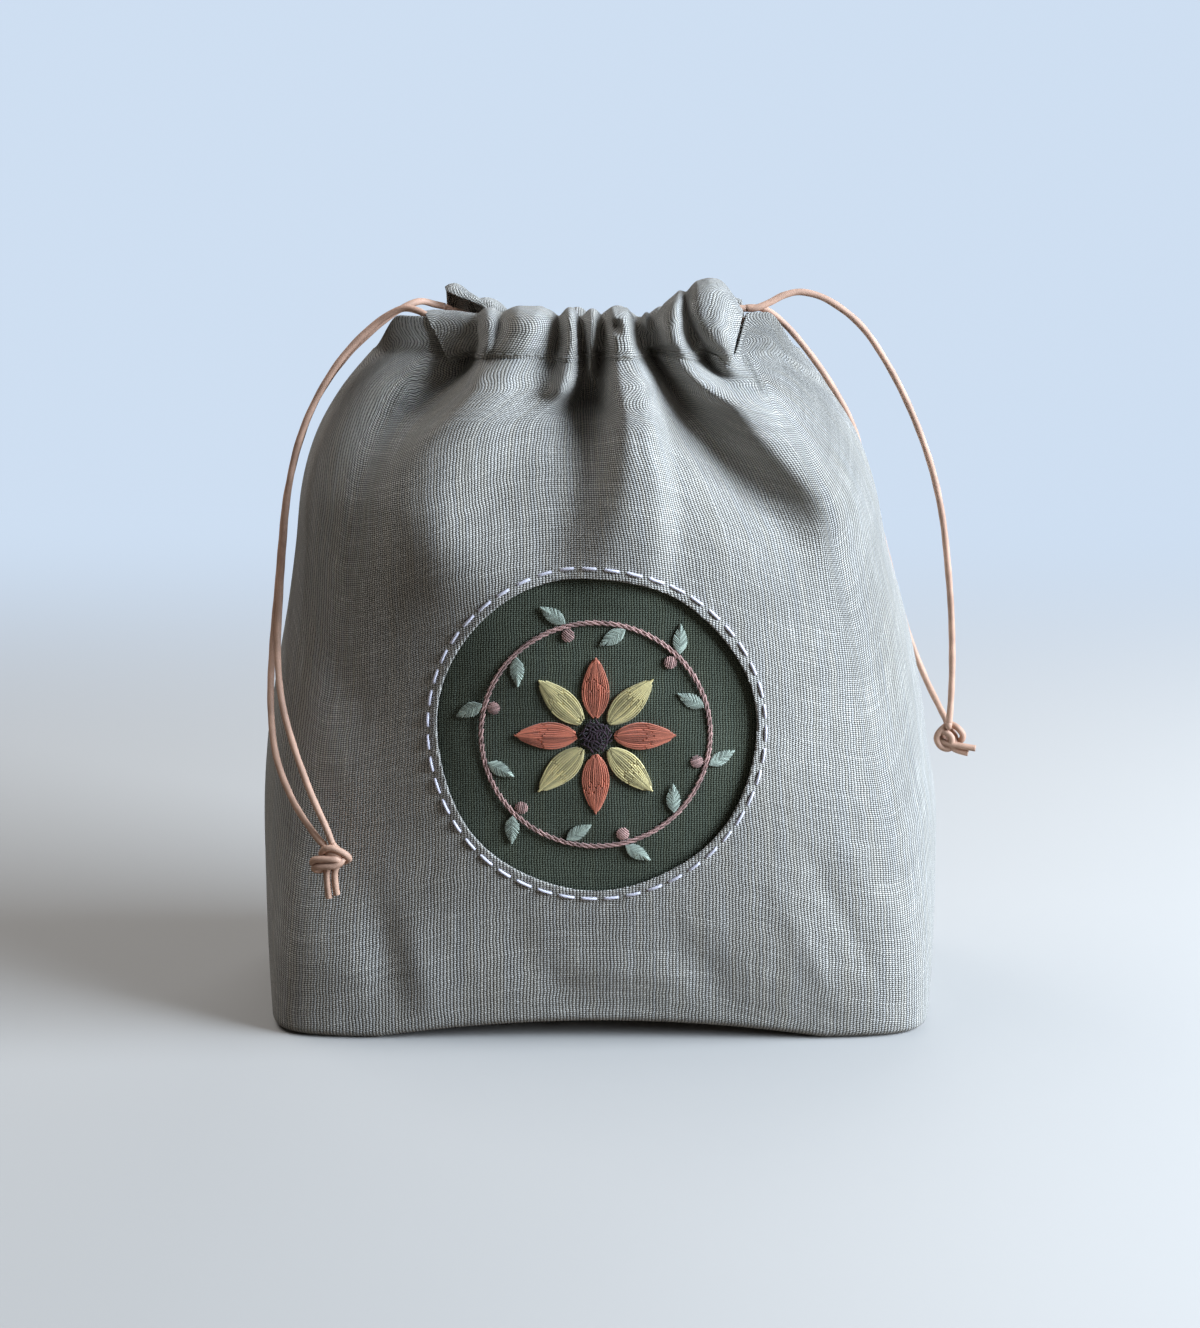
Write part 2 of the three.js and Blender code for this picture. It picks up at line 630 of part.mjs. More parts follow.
// Outer outline of a casing in the plane of one station: outwards and up from its foot.
function casingOutline(side, x) {
  const reach = CORD_DIAMETER + CORD_PLAY + CASING_WALL + CASING_EASE;
  const { half, centre } = section(WALL_HEIGHT);
  const across = (x - centre) / half;
  const puff = CASING_PUFF * gather(side.gathers, x, WALL_HEIGHT, across);
  const seam = bodyDepth(side, x, WALL_HEIGHT + edgeRise(side, x)) - Math.abs(casingY(side, x));
  const foot = CASING_FOOT / 2;
  const rise = (share) => CASING_HEIGHT * share;
  return [
    [seam - LINEN_WALL / 2 + foot, 0], [reach + 0.8 * puff, rise(0.27)], [reach + puff, rise(0.55)],
    [0.8 * reach + 0.8 * puff, rise(0.82)], [0.35 * reach + 0.5 * puff, rise(0.98)],
    [-0.4 * reach, rise(1)], [-0.9 * reach, rise(0.8)], [-reach, rise(0.5)],
    [-0.9 * reach, rise(0.24)], [seam - LINEN_WALL / 2 - foot, 0],
  ];
}

// An outline in a plane, moved in by a wall.
function insetOutline(outline, wall) {
  const count = outline.length;
  return outline.map(([a, b], i) => {
    const [pa, pb] = outline[(i + count - 1) % count];
    const [na, nb] = outline[(i + 1) % count];
    const length = Math.hypot(na - pa, nb - pb);
    return [a - ((nb - pb) / length) * wall, b + ((na - pa) / length) * wall];
  });
}

function makeCasings() {
  for (const [name, side] of [['front_casing', FRONT], ['back_casing', BACK]]) {
    const outer = [];
    const inner = [];
    for (let station = 0; station <= CASING_STATIONS; station += 1) {
      const x = CASING_LEFT + ((CASING_RIGHT - CASING_LEFT) * station) / CASING_STATIONS;
      const outline = casingOutline(side, x);
      const place = ([out, up]) => new THREE.Vector3(
        x, casingY(side, x) + side.facing * out, casingFoot(side, x) + up);
      outer.push(outline.map(place));
      inner.push(insetOutline(outline, CASING_WALL).map(place));
    }
    addNode(name, sweptSolid(outer, inner, false), 'linen');
  }
}

// Row of thread that holds a casing's foot, just outside it.
function makeCasingStitches() {
  for (const [name, side] of [['front_casing_stitch', FRONT], ['back_casing_stitch', BACK]]) {
    const steps = CASING_STATIONS;
    const loops = [];
    for (let step = 1; step < steps; step += 1) {
      const x = CASING_LEFT + ((CASING_RIGHT - CASING_LEFT) * step) / steps;
      const [[foot, footUp], [low, lowUp]] = casingOutline(side, x);
      const share = 0.3;
      const out = foot + (low - foot) * share + THREAD_RADIUS + TOUCH_GAP + STITCH_CLEARANCE;
      const up = footUp + (lowUp - footUp) * share;
      const loop = [];
      for (let turn = 0; turn < THREAD_SIDES; turn += 1) {
        const angle = (2 * Math.PI * turn) / THREAD_SIDES;
        loop.push(new THREE.Vector3(
          x,
          casingY(side, x) + side.facing * (out + THREAD_RADIUS * Math.cos(angle)),
          casingFoot(side, x) + up + THREAD_RADIUS * Math.sin(angle)));
      }
      loops.push(loop);
    }
    addNode(name, sweptSolid(loops, null, false), 'seamThread');
  }
}

// Two cords lie side by side in each casing and swap heights on the way, so that each pair of tails
// leaves above the other cord's bight.
const CORD_APART = CORD_DIAMETER / 2 + TOUCH_GAP / 2;
function runPoint(side, x, cord) {
  const share = (x - CASING_LEFT) / (CASING_RIGHT - CASING_LEFT);
  const high = cord === 'left' ? 1 - smooth(share) : smooth(share);
  const out = cord === 'left' ? CORD_APART : -CORD_APART;
  return [x, casingY(side, x) + side.facing * out, casingFoot(side, x) + CORD_LOWER + CORD_STEP_UP * high];
}

function makeRuns() {
  const stations = 13;
  for (const cord of ['left', 'right']) {
    for (const [name, side] of [['front', FRONT], ['back', BACK]]) {
      const points = Array.from({ length: stations }, (_, i) => (
        runPoint(side, CASING_LEFT + ((CASING_RIGHT - CASING_LEFT) * i) / (stations - 1), cord)));
      const square = (point, next) => (
        [point[0] + CORD_STRAIGHT * Math.sign(next[0] - point[0]), point[1], point[2]]);
      points.splice(1, 0, square(points[0], points[1]));
      points.splice(-1, 0, square(points.at(-1), points.at(-2)));
      addNode(`${cord}_cord_${name}_run`, cordGeometry(points, CORD_DIAMETER, 18, CORD_SIDES), 'leather');
    }
  }
}

// The bend where a cord comes out of one casing and goes into the other, on the side away from
// its tails.
function makeBights() {
  for (const [cord, x, outward] of [['left', CASING_RIGHT, 1], ['right', CASING_LEFT, -1]]) {
    const start = runPoint(FRONT, x, cord);
    const end = runPoint(BACK, x, cord);
    const at = (reach, share) => [
      x + outward * (TOUCH_GAP + reach), start[1] + (end[1] - start[1]) * share,
      start[2] + (end[2] - start[2]) * share];
    const points = [
      at(0, 0), at(CORD_STRAIGHT, 0), at(BIGHT_REACH * 0.7, 0.14), at(BIGHT_REACH, 0.36),
      at(BIGHT_REACH, 0.64), at(BIGHT_REACH * 0.7, 0.86), at(CORD_STRAIGHT, 1), at(0, 1)];
    addNode(`${cord}_cord_bight`, cordGeometry(points, CORD_DIAMETER, 14, CORD_SIDES), 'leather');
  }
}

function makeTails() {
  const tails = {
    left_tail_front: LEFT_FRONT_TAIL,
    left_tail_back: LEFT_BACK_TAIL,
    right_tail_front: RIGHT_FRONT_TAIL,
    right_tail_back: RIGHT_BACK_TAIL,
  };
  for (const [name, points] of Object.entries(tails)) {
    addNode(name, cordGeometry(points, CORD_DIAMETER, 26, CORD_SIDES), 'leather');
  }
}

// A knot is a rounded lump below the two strands' ends, with two cut ends that leave it.
function makeKnots() {
  const knots = [
    ['left_knot', LEFT_FRONT_TAIL, LEFT_BACK_TAIL, [0.2, -0.1, -1], [[-1.6, 0, -9.5], [0.9, -0.6, -8.4]]],
    ['right_knot', RIGHT_FRONT_TAIL, RIGHT_BACK_TAIL, [0, -0.1, -1], [[7.5, -4, -3.4], [5, -3, -5]]],
  ];
  for (const [name, front, back, heading, ends] of knots) {
    const meet = new THREE.Vector3(...front.at(-1)).lerp(new THREE.Vector3(...back.at(-1)), 0.5);
    const way = new THREE.Vector3(...heading).normalize();
    const middle = meet.addScaledVector(way, KNOT_LENGTH / 2 + 0.6 * TOUCH_GAP);
    const lump = new THREE.SphereGeometry(KNOT_THICKNESS / 2, 12, 8);
    lump.scale(1, 1, KNOT_LENGTH / KNOT_THICKNESS);
    lump.applyQuaternion(new THREE.Quaternion().setFromUnitVectors(new THREE.Vector3(0, 0, -1), way));
    lump.translate(...middle.toArray());
    let knot = asManifold(lump);
    for (const end of ends) {
      const tip = middle.clone().add(new THREE.Vector3(...end));
      const route = [middle.toArray(), middle.clone().lerp(tip, 0.5).toArray(), tip.toArray()];
      knot = knot.add(asManifold(cordGeometry(route, CORD_DIAMETER, 3, CORD_SIDES)));
    }
    addNode(name, fromManifold(knot), 'leather');
  }
}

// Threads that close the side seams and the seam under the base, between the linen and the lining.
function makeSeamThreads() {
  const inset = LINEN_WALL + (LINING_INSET - LINEN_WALL) / 2;
  const steps = 12;
  for (const [name, outward] of [['left_seam_thread', -1], ['right_seam_thread', 1]]) {
    const low = BASE_ROUNDING + inset;
    const high = WALL_HEIGHT - BACK_DROP - 2 * LINING_DROP;
    const edge = (height) => outward * section(height).centre + section(height).half;
    const points = Array.from({ length: steps }, (_, i) => {
      const height = low + ((high - low) * i) / (steps - 1);
      const lean = (edge(height + 1) - edge(height - 1)) / 2;
      const along = inset / Math.hypot(1, lean);
      return [outward * (edge(height) - along), 0, height + along * lean];
    });
    addNode(name, cordGeometry(points, 2 * THREAD_RADIUS, 16, THREAD_SIDES), 'seamThread');
  }
  const { half, centre } = section(0);
  const reach = half - BASE_ROUNDING - BASE_THREAD_BACKOFF;
  const points = [-1, -0.5, 0, 0.5, 1].map((share) => [centre + reach * share, 0, inset]);
  addNode('base_seam_thread', cordGeometry(points, 2 * THREAD_RADIUS, 6, THREAD_SIDES), 'seamThread');
}

makePanels();
makeLinings();
makePatch();
makeWindowStitch();
makeEmbroidery();
makeCasings();
makeCasingStitches();
makeRuns();
makeBights();
makeTails();
makeKnots();
makeSeamThreads();

export default bag;
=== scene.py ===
"""Looks of a linen drawstring bag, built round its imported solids.

Lengths in tables are millimetres, unless a comment says otherwise.
"""
import math

import bpy
import numpy as np
from bpy.props import FloatProperty, FloatVectorProperty, IntProperty, PointerProperty
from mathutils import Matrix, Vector


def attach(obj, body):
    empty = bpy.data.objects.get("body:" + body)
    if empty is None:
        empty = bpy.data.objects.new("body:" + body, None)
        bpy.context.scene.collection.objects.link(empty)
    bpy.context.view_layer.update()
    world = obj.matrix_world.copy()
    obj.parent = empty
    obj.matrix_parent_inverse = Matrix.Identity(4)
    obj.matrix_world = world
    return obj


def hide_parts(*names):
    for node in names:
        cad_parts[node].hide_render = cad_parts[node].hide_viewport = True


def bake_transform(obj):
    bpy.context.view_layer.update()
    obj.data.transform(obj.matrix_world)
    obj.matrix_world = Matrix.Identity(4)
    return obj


bl_info = {
    "name": "Drawstring bag looks",
    "version": (1, 0, 0),
    "blender": (4, 5, 0),
    "location": "3D View > Sidebar > Drawstring Bag",
    "description": "Dresses a small linen drawstring bag in cloth, thread and leather lace",
    "category": "Add Mesh",
}

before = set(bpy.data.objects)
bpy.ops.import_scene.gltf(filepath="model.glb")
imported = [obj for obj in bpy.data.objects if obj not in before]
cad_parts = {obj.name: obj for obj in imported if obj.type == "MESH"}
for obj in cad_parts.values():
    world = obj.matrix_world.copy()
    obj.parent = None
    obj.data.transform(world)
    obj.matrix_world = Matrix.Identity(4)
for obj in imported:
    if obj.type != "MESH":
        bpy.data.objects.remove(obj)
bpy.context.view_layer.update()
MM = 0.001

# How far each section has swelled from the neck's size to the belly's: height, left, right, depth
SWELL = np.array([
    [0, 0.9, 0.92, 0.9], [20, 0.945, 0.965, 0.955], [40, 0.98, 0.99, 0.985], [62, 1, 1, 1],
    [80, 0.97, 0.94, 1], [95, 0.91, 0.89, 0.99], [110, 0.83, 0.82, 0.98], [125, 0.75, 0.73, 0.95],
    [141, 0.68, 0.62, 0.89], [160, 0.61, 0.52, 0.75], [175, 0.48, 0.39, 0.56],
    [188, 0.27, 0.2, 0.29], [199.5, 0, 0, 0],
])

# Folds below the gathered neck. Each has how steep its left and right flanks are, then from its top
# to its foot: place across, height, rise, reach to the left, reach to the right
FRONT_FOLDS = [
    ((2.5, 2.5), [(-31.7, 214, 4.5, 3.2, 3.2), (-31.7, 204, 5.5, 3.4, 3), (-34.6, 197, 3, 3, 3),
        (-38, 191, 0, 3.5, 3.5)]),
    ((2, 2), [(-43, 213, -1.5, 5, 5), (-43, 206, -3, 6, 5), (-44, 198, -4, 7, 5),
        (-50, 191, -5, 8, 5), (-56, 184, -5, 9, 6), (-62, 176, -4, 11, 7), (-66, 165, -2, 13, 9),
        (-69, 148, 0, 15, 11)]),
    ((1.5, 2), [(-36, 213, -3, 2, 1.6), (-37, 206.5, -6.5, 2.4, 1.8), (-38, 197, -11.5, 4.4, 2.4),
        (-43, 191, -11, 6.4, 3.6), (-49, 184, -7.5, 8, 4), (-55, 177, -2, 8, 3),
        (-60, 170, 0, 8, 4)]),
    ((1.6, 1.6), [(-28.6, 210, -2.6, 1.6, 1.6), (-30, 203.8, -3.2, 1.6, 1.6),
        (-32.6, 198, -2.8, 2, 2), (-36, 193, 0, 2, 2)]),
    ((3.6, 2), [(-18.8, 214, 7.4, 8, 6), (-20.8, 207.2, 8, 8.2, 6.6), (-27, 196.4, 9, 9, 10),
        (-37, 184.9, 9, 10, 14), (-45, 174.5, 7.2, 12, 17), (-51, 162, 6.8, 13, 18),
        (-49, 148, 6.2, 15, 17), (-49, 132, 1.4, 16, 18), (-48, 122, 0, 18, 20)]),
    ((1.6, 1.6), [(-11.9, 210, -4.4, 1.4, 1.4), (-12.4, 204.6, -3, 1.5, 1.5),
        (-12.8, 199, -1, 1.8, 1.8), (-13.4, 193, 0, 2, 2)]),
    ((2.5, 2.5), [(-8.6, 213, 5.8, 2.4, 2.1), (-7.9, 204.2, 6.4, 2.8, 2.3), (-8.6, 197, 7.4, 4, 3),
        (-9.6, 191, 7.6, 4.6, 3.8), (-10.4, 187.5, 3, 4.4, 4), (-10.8, 185, 0, 4, 4)]),
    ((1.6, 1.8), [(-5.8, 211, -4, 1.2, 1.2), (-5, 201.6, -6, 1.4, 1.4), (-5, 195, -9, 2, 2.2),
        (-5.2, 187, -16, 5.4, 4.6), (-5.4, 182, -8, 7, 5.6), (-4.4, 173, -5, 9.4, 6.6),
        (-5.2, 164, -4, 11, 8), (-8, 156, -3.8, 12, 8.6), (-11.5, 147.7, -2.8, 13, 10),
        (-13, 134, 0, 14, 12)]),
    ((2.4, 2.4), [(-2.1, 213, 5, 1.9, 1.9), (-2.4, 204.1, 5, 1.9, 1.8), (-2.9, 197, 4, 1.8, 1.8),
        (-3, 191, 0, 2, 2)]),
    ((1.6, 1.6), [(1.4, 209, -4.5, 1.2, 1.2), (0.2, 203.8, -6, 1.3, 1.3), (-0.6, 195, -8, 1.6, 2),
        (-0.8, 189, -6, 2.4, 2.4), (-0.4, 182, 0, 3, 3)]),
    ((2.6, 5), [(4.7, 214, 8, 3.2, 3.8), (5.4, 204.6, 9, 3.6, 4.8), (6.6, 194.4, 9.5, 5, 7.4),
        (9, 184, 9.5, 6.5, 8), (10, 172, 7.5, 9.5, 9), (9.5, 158, 5.2, 12.5, 11),
        (7, 146, 3, 14, 13), (5, 130, 0, 12, 13)]),
    ((2, 2), [(4.6, 211, 0, 1.5, 1.2), (4.6, 208.5, -4, 1.6, 1.3), (4.8, 206, 0, 1.5, 1.2)]),
    ((1.6, 1.8), [(11, 211, -4.5, 1.2, 1.2), (14.8, 198.5, -10, 1.5, 2.2),
        (20.4, 190, -13, 2.2, 4), (23.4, 184.8, -13, 3.2, 6.6), (28, 177, -10, 6.4, 11),
        (34, 170.5, -10, 8, 13), (45, 160, -9.4, 13, 15), (56, 148, -6, 14, 15),
        (62, 134, -2, 13, 14), (64, 120, 0, 14, 14)]),
    ((2, 2), [(13.4, 212, 3.4, 1.1, 1.1), (13.2, 205, 3, 1.1, 1.1), (14.4, 199, 0, 1.2, 1.2)]),
    ((2.8, 2.4), [(20, 213, 8, 3.2, 3.6), (21.1, 205.7, 9, 3.4, 4), (24.7, 197.4, 8, 3.8, 4.8),
        (31.7, 191.2, 8, 4.8, 8), (42, 185.6, 7, 7.5, 11), (52, 175.6, 7, 10, 12),
        (61, 167, 7.2, 11, 13), (71, 158, 8, 13, 12), (73, 146, 4, 14, 12), (76, 130, 0, 14, 12)]),
    ((1.6, 1.6), [(24.6, 212, -4.4, 1.5, 1.5), (28, 202, -7, 1.8, 1.8), (31.6, 196, -8, 2.6, 2.6),
        (36, 192, -5, 3.6, 3.6), (41, 188, 0, 4, 4)]),
    ((3, 2.6), [(31, 222, 6, 9, 7.5), (31.4, 211, 8, 8, 6.8), (34.6, 203, 7, 4.8, 4.6),
        (36.8, 196.5, 3.5, 3.2, 4.2), (40, 191, 0, 4, 4)]),
    ((2, 2), [(-78, 158, 0, 14, 26), (-81, 142, -4.6, 16, 28), (-83, 118, -7.4, 18, 30),
        (-83, 96, -7.4, 18, 30), (-82, 70, -6, 18, 28), (-80, 44, -3.6, 16, 26),
        (-78, 22, 0, 14, 22)]),
]
BACK_FOLDS = [
    ((2.4, 2.4), [(-44, 214, 4.6, 3.4, 3.4), (-46, 200, 5.6, 4, 4), (-55, 184, 4.8, 7, 7),
        (-64, 160, 2.2, 10, 10), (-68, 142, 0, 12, 12)]),
    ((1.6, 1.6), [(-37.5, 212, -5, 1.8, 1.8), (-38, 200, -7, 2.4, 2.4), (-44, 188, -8, 4.4, 5),
        (-50, 176, -5, 7, 8), (-54, 156, 0, 10, 11)]),
    ((2.4, 2.4), [(-31, 213, 5.6, 3.4, 3), (-31.5, 200, 7, 4, 3.6), (-35, 186, 7, 6, 6),
        (-40, 168, 3.6, 9, 9), (-43, 146, 0, 12, 12)]),
    ((1.6, 1.6), [(-25.4, 211, -5, 1.5, 1.5), (-25.6, 200, -7, 1.8, 2), (-26, 188, -7, 3.6, 4),
        (-27, 172, -3.4, 6, 6), (-28, 156, 0, 8, 8)]),
    ((2.4, 2.4), [(-18.5, 213, 5.6, 4.2, 3.2), (-18.5, 200, 7, 4.6, 3.8), (-19, 186, 6, 6, 6),
        (-20, 168, 3, 8, 8), (-20, 150, 0, 10, 10)]),
    ((1.6, 1.6), [(-12.6, 211, -5, 1.5, 1.4), (-12.4, 200, -8, 1.8, 1.8),
        (-11.6, 189, -9, 3.4, 3.6), (-11, 174, -5.6, 6.4, 6.4), (-11, 152, 0, 9, 9)]),
    ((2.4, 2.4), [(-7, 213, 5, 2.4, 2.8), (-6.6, 202, 6, 2.8, 3), (-5, 192, 4, 4, 4),
        (-4, 182, 0, 5, 5)]),
    ((1.6, 1.6), [(-1, 211, -4.6, 1.4, 1.4), (-0.6, 200, -6.6, 1.8, 1.8), (0.6, 190, -4.4, 3, 3),
        (1, 182, 0, 4, 4)]),
    ((2.4, 2.4), [(5.4, 214, 6, 3.6, 3.4), (5.6, 200, 8, 4.4, 4.2), (6.2, 184, 8, 7, 7),
        (7, 166, 4.4, 10, 10), (7, 142, 0, 12, 12)]),
    ((1.6, 1.6), [(12.4, 211, -5, 1.6, 1.5), (13, 200, -8, 2, 2), (15.6, 188, -9, 4, 4),
        (19, 174, -6, 7, 7), (22, 154, 0, 10, 10)]),
    ((2.4, 2.4), [(18.6, 213, 5, 3, 2.8), (19.6, 200, 6.4, 3.4, 3.2), (24, 188, 4.8, 5, 5),
        (28, 174, 0, 7, 7)]),
    ((1.6, 1.6), [(24.6, 211, -5, 1.6, 1.6), (26, 200, -7, 2, 2), (31, 189, -7, 4, 4.4),
        (37, 176, -3.6, 7, 7), (42, 158, 0, 9, 9)]),
    ((2.4, 2.4), [(33, 216, 6, 4.6, 4.6), (34, 202, 7, 4.6, 4.6), (41, 187, 6, 7, 8),
        (50, 168, 3.4, 10, 11), (56, 146, 0, 13, 13)]),
]

# Shallow creases of the belly: from, to (across and height), rise, width
FRONT_CREASES = [
    ((-67, 46), (-60, 12), -1.6, 6), ((-55, 34), (-50, 6), 0.8, 6),
    ((60, 58), (84, 16), -0.9, 3.4), ((68, 66), (90, 30), 0.7, 4), ((52, 48), (70, 12), 0.6, 4),
    ((-30, 38), (-8, 10), -0.7, 8), ((20, 36), (40, 8), -0.8, 7), ((-84, 120), (-70, 96), -1.2, 6),
    ((78, 120), (88, 88), -1.1, 5), ((-72, 70), (-84, 96), 0.8, 7), ((-20, 24), (24, 20), 0.8, 8),
    ((56, 96), (74, 118), 0.7, 6),
]
BACK_CREASES = [
    ((-60, 50), (-72, 14), -1.4, 6), ((30, 70), (62, 40), -1.2, 7), ((-20, 96), (14, 80), 0.9, 9),
    ((66, 44), (58, 10), -1.2, 6), ((-40, 120), (-62, 90), -1.1, 7),
    ((40, 128), (66, 104), 0.9, 7),
]

# Routes of the four free tails, in metres
TAILS = {
    "left_tail_front": [
        (-0.0464, -0.0119, 0.2084), (-0.049, -0.0118, 0.2092), (-0.053, -0.0102, 0.2114),
        (-0.0584, -0.0086, 0.2116), (-0.067, -0.008, 0.2062), (-0.0762, -0.01, 0.1966),
        (-0.0838, -0.012, 0.1844), (-0.089, -0.014, 0.1714), (-0.092, -0.016, 0.157),
        (-0.0934, -0.019, 0.1422), (-0.0944, -0.022, 0.128), (-0.0948, -0.027, 0.1139),
        (-0.0932, -0.034, 0.1008), (-0.0894, -0.0404, 0.089), (-0.084, -0.0462, 0.076),
        (-0.0796, -0.0496, 0.067), (-0.0774, -0.0508, 0.0615)],
    "left_tail_back": [
        (-0.0464, 0.0119, 0.2103), (-0.0494, 0.0115, 0.211), (-0.054, 0.008, 0.2122),
        (-0.06, 0.005, 0.2098), (-0.067, 0.004, 0.2046), (-0.076, 0.003, 0.196),
        (-0.0844, 0.002, 0.1842), (-0.0896, 0, 0.1719), (-0.0934, -0.004, 0.157),
        (-0.095, -0.0085, 0.143), (-0.0962, -0.0125, 0.1286), (-0.0976, -0.018, 0.1119),
        (-0.0976, -0.0254, 0.0966), (-0.0954, -0.0336, 0.0835), (-0.09, -0.0416, 0.0726),
        (-0.0836, -0.0476, 0.0646), (-0.0798, -0.0502, 0.061)],
    "right_tail_front": [
        (0.0424, -0.0088, 0.2119), (0.0454, -0.0088, 0.212), (0.0496, -0.008, 0.2136),
        (0.0538, -0.007, 0.2156), (0.0594, -0.0058, 0.2163), (0.0673, -0.005, 0.2136),
        (0.077, -0.004, 0.206), (0.0857, -0.0034, 0.1936), (0.0928, -0.0028, 0.18),
        (0.0988, -0.0024, 0.1648), (0.1028, -0.002, 0.1493), (0.1053, -0.0016, 0.1323),
        (0.1069, -0.0014, 0.1166), (0.1076, -0.0016, 0.101), (0.1074, -0.0024, 0.09),
        (0.107, -0.0032, 0.0845)],
    "right_tail_back": [
        (0.0424, 0.0088, 0.2099), (0.045, 0.0089, 0.2103), (0.0496, 0.009, 0.2096),
        (0.056, 0.0096, 0.2046), (0.0632, 0.0104, 0.1962), (0.07, 0.0116, 0.1866),
        (0.076, 0.013, 0.176), (0.08, 0.016, 0.165), (0.084, 0.02, 0.152), (0.0876, 0.0226, 0.139),
        (0.092, 0.0236, 0.124), (0.0966, 0.022, 0.108), (0.1016, 0.0156, 0.095),
        (0.1052, 0.007, 0.0876), (0.1068, 0.001, 0.0845)],
}

# Paths of the two strands of each knot, from where the tail ends to the cut end
LEFT_KNOT_STRANDS = [
    [(-2.6, 0.9, 1.6), (-2.4, -0.4, 2.9), (-1.2, -1.3, 4.0), (0.6, -1.6, 4.2), (2.7, -1.5, 3.3),
     (4.5, -1.0, 1.9), (5.1, 0.0, 0.5), (4.3, 1.1, -0.5), (2.2, 1.7, -1.1), (-1.5, 1.7, -1.5),
     (-4.1, 1.2, -1.7), (-5.4, 0.1, -0.9), (-4.9, -0.9, 0.4), (-2.8, -1.7, 0.9), (-0.2, -2.1, 1.0),
     (1.7, -1.9, 0.8), (2.5, -0.9, -0.2), (1.6, -0.1, -1.7), (0.9, 0.0, -3.6), (0.9, 0.0, -7.0),
     (1.3, 0.1, -10.6)],
    [(1.6, 0.7, 3.4), (0.2, 0.3, 2.8), (-0.9, -0.5, 2.2), (0.5, -1.0, 2.4), (2.2, -0.9, 1.6),
     (3.2, 0.0, 0.2), (2.2, 1.1, -1.6), (-1.2, 1.5, -3.0), (-3.8, 0.9, -3.3), (-5.0, 0.0, -2.6),
     (-4.4, -1.0, -1.7), (-2.0, -1.7, -1.3), (0.6, -1.9, -1.1), (2.7, -1.5, -0.2),
     (3.4, -0.4, 0.6), (1.8, 0.4, -0.4), (-0.4, 0.3, -2.2), (-1.3, 0.0, -4.0), (-1.3, -0.1, -7.4),
     (-1.0, 0.0, -11.6)],
]
RIGHT_KNOT_STRANDS = [
    [(-0.4, 0.2, 3.6), (-1.8, -0.8, 3.0), (-3.4, -1.1, 1.4), (-3.9, -0.9, -0.8),
     (-2.6, -1.0, -3.0), (-0.4, -1.2, -3.7), (1.4, -0.6, -2.6), (1.9, 0.6, -0.6), (0.6, 1.5, 1.4),
     (-1.6, 1.6, 1.8), (-3.0, 0.9, 0.2), (-2.2, -0.6, -1.4), (0.0, -1.8, -2.0), (2.4, -2.4, -2.3),
     (5.0, -3.0, -2.6), (7.7, -3.6, -2.9)],
    [(1.2, 0.4, 3.4), (2.6, -0.5, 2.6), (4.0, -0.7, 0.8), (3.8, -0.4, -1.0), (2.2, 0.6, -2.0),
     (-0.4, 1.5, -1.6), (-2.2, 1.2, -0.4), (-2.6, -0.2, 1.2), (-1.2, -1.6, 1.6), (0.4, -2.0, 0.2),
     (0.6, -1.9, -1.8), (1.2, -1.6, -3.4), (3.2, -2.0, -4.2), (5.6, -2.6, -4.7)],
]

# Share of a turn from one stitch of the star's middle to the next
GOLDEN = 0.61803


class BagSizes(bpy.types.PropertyGroup):
    """Sizes of the cloth body, shared with the solids"""


class BagStitching(bpy.types.PropertyGroup):
    """Sizes of the sewing and the embroidery"""


class BagColours(bpy.types.PropertyGroup):
    """Colours of cloth, threads and leather, as written values of plain light"""


class BagStage(bpy.types.PropertyGroup):
    """Camera and lights"""


COLOURS = [
    ("linen", "Linen", (0.64, 0.605, 0.55)),
    # Painted shade: the dark colour laid between the linen's threads, where the weave lies low
    ("linen_gap", "Linen between threads", (0.05, 0.045, 0.038)),
    ("patch", "Green linen", (0.135, 0.152, 0.111)),
    ("lining", "Lining", (0.50, 0.47, 0.41)),
    ("leather", "Leather", (0.66, 0.40, 0.285)),
    ("leather_core", "Cut leather", (0.33, 0.17, 0.11)),
    ("stitch", "Running stitch", (0.78, 0.75, 0.86)),
    ("seam", "Sewing thread", (0.30, 0.28, 0.25)),
    ("rust", "Rust thread", (0.56, 0.17, 0.1)),
    ("straw", "Straw thread", (0.66, 0.56, 0.27)),
    ("sage", "Sage thread", (0.37, 0.43, 0.36)),
    ("rose", "Rose thread", (0.47, 0.28, 0.25)),
    ("aubergine", "Aubergine thread", (0.032, 0.012, 0.022)),
]
LENGTH = {"unit": "LENGTH"}

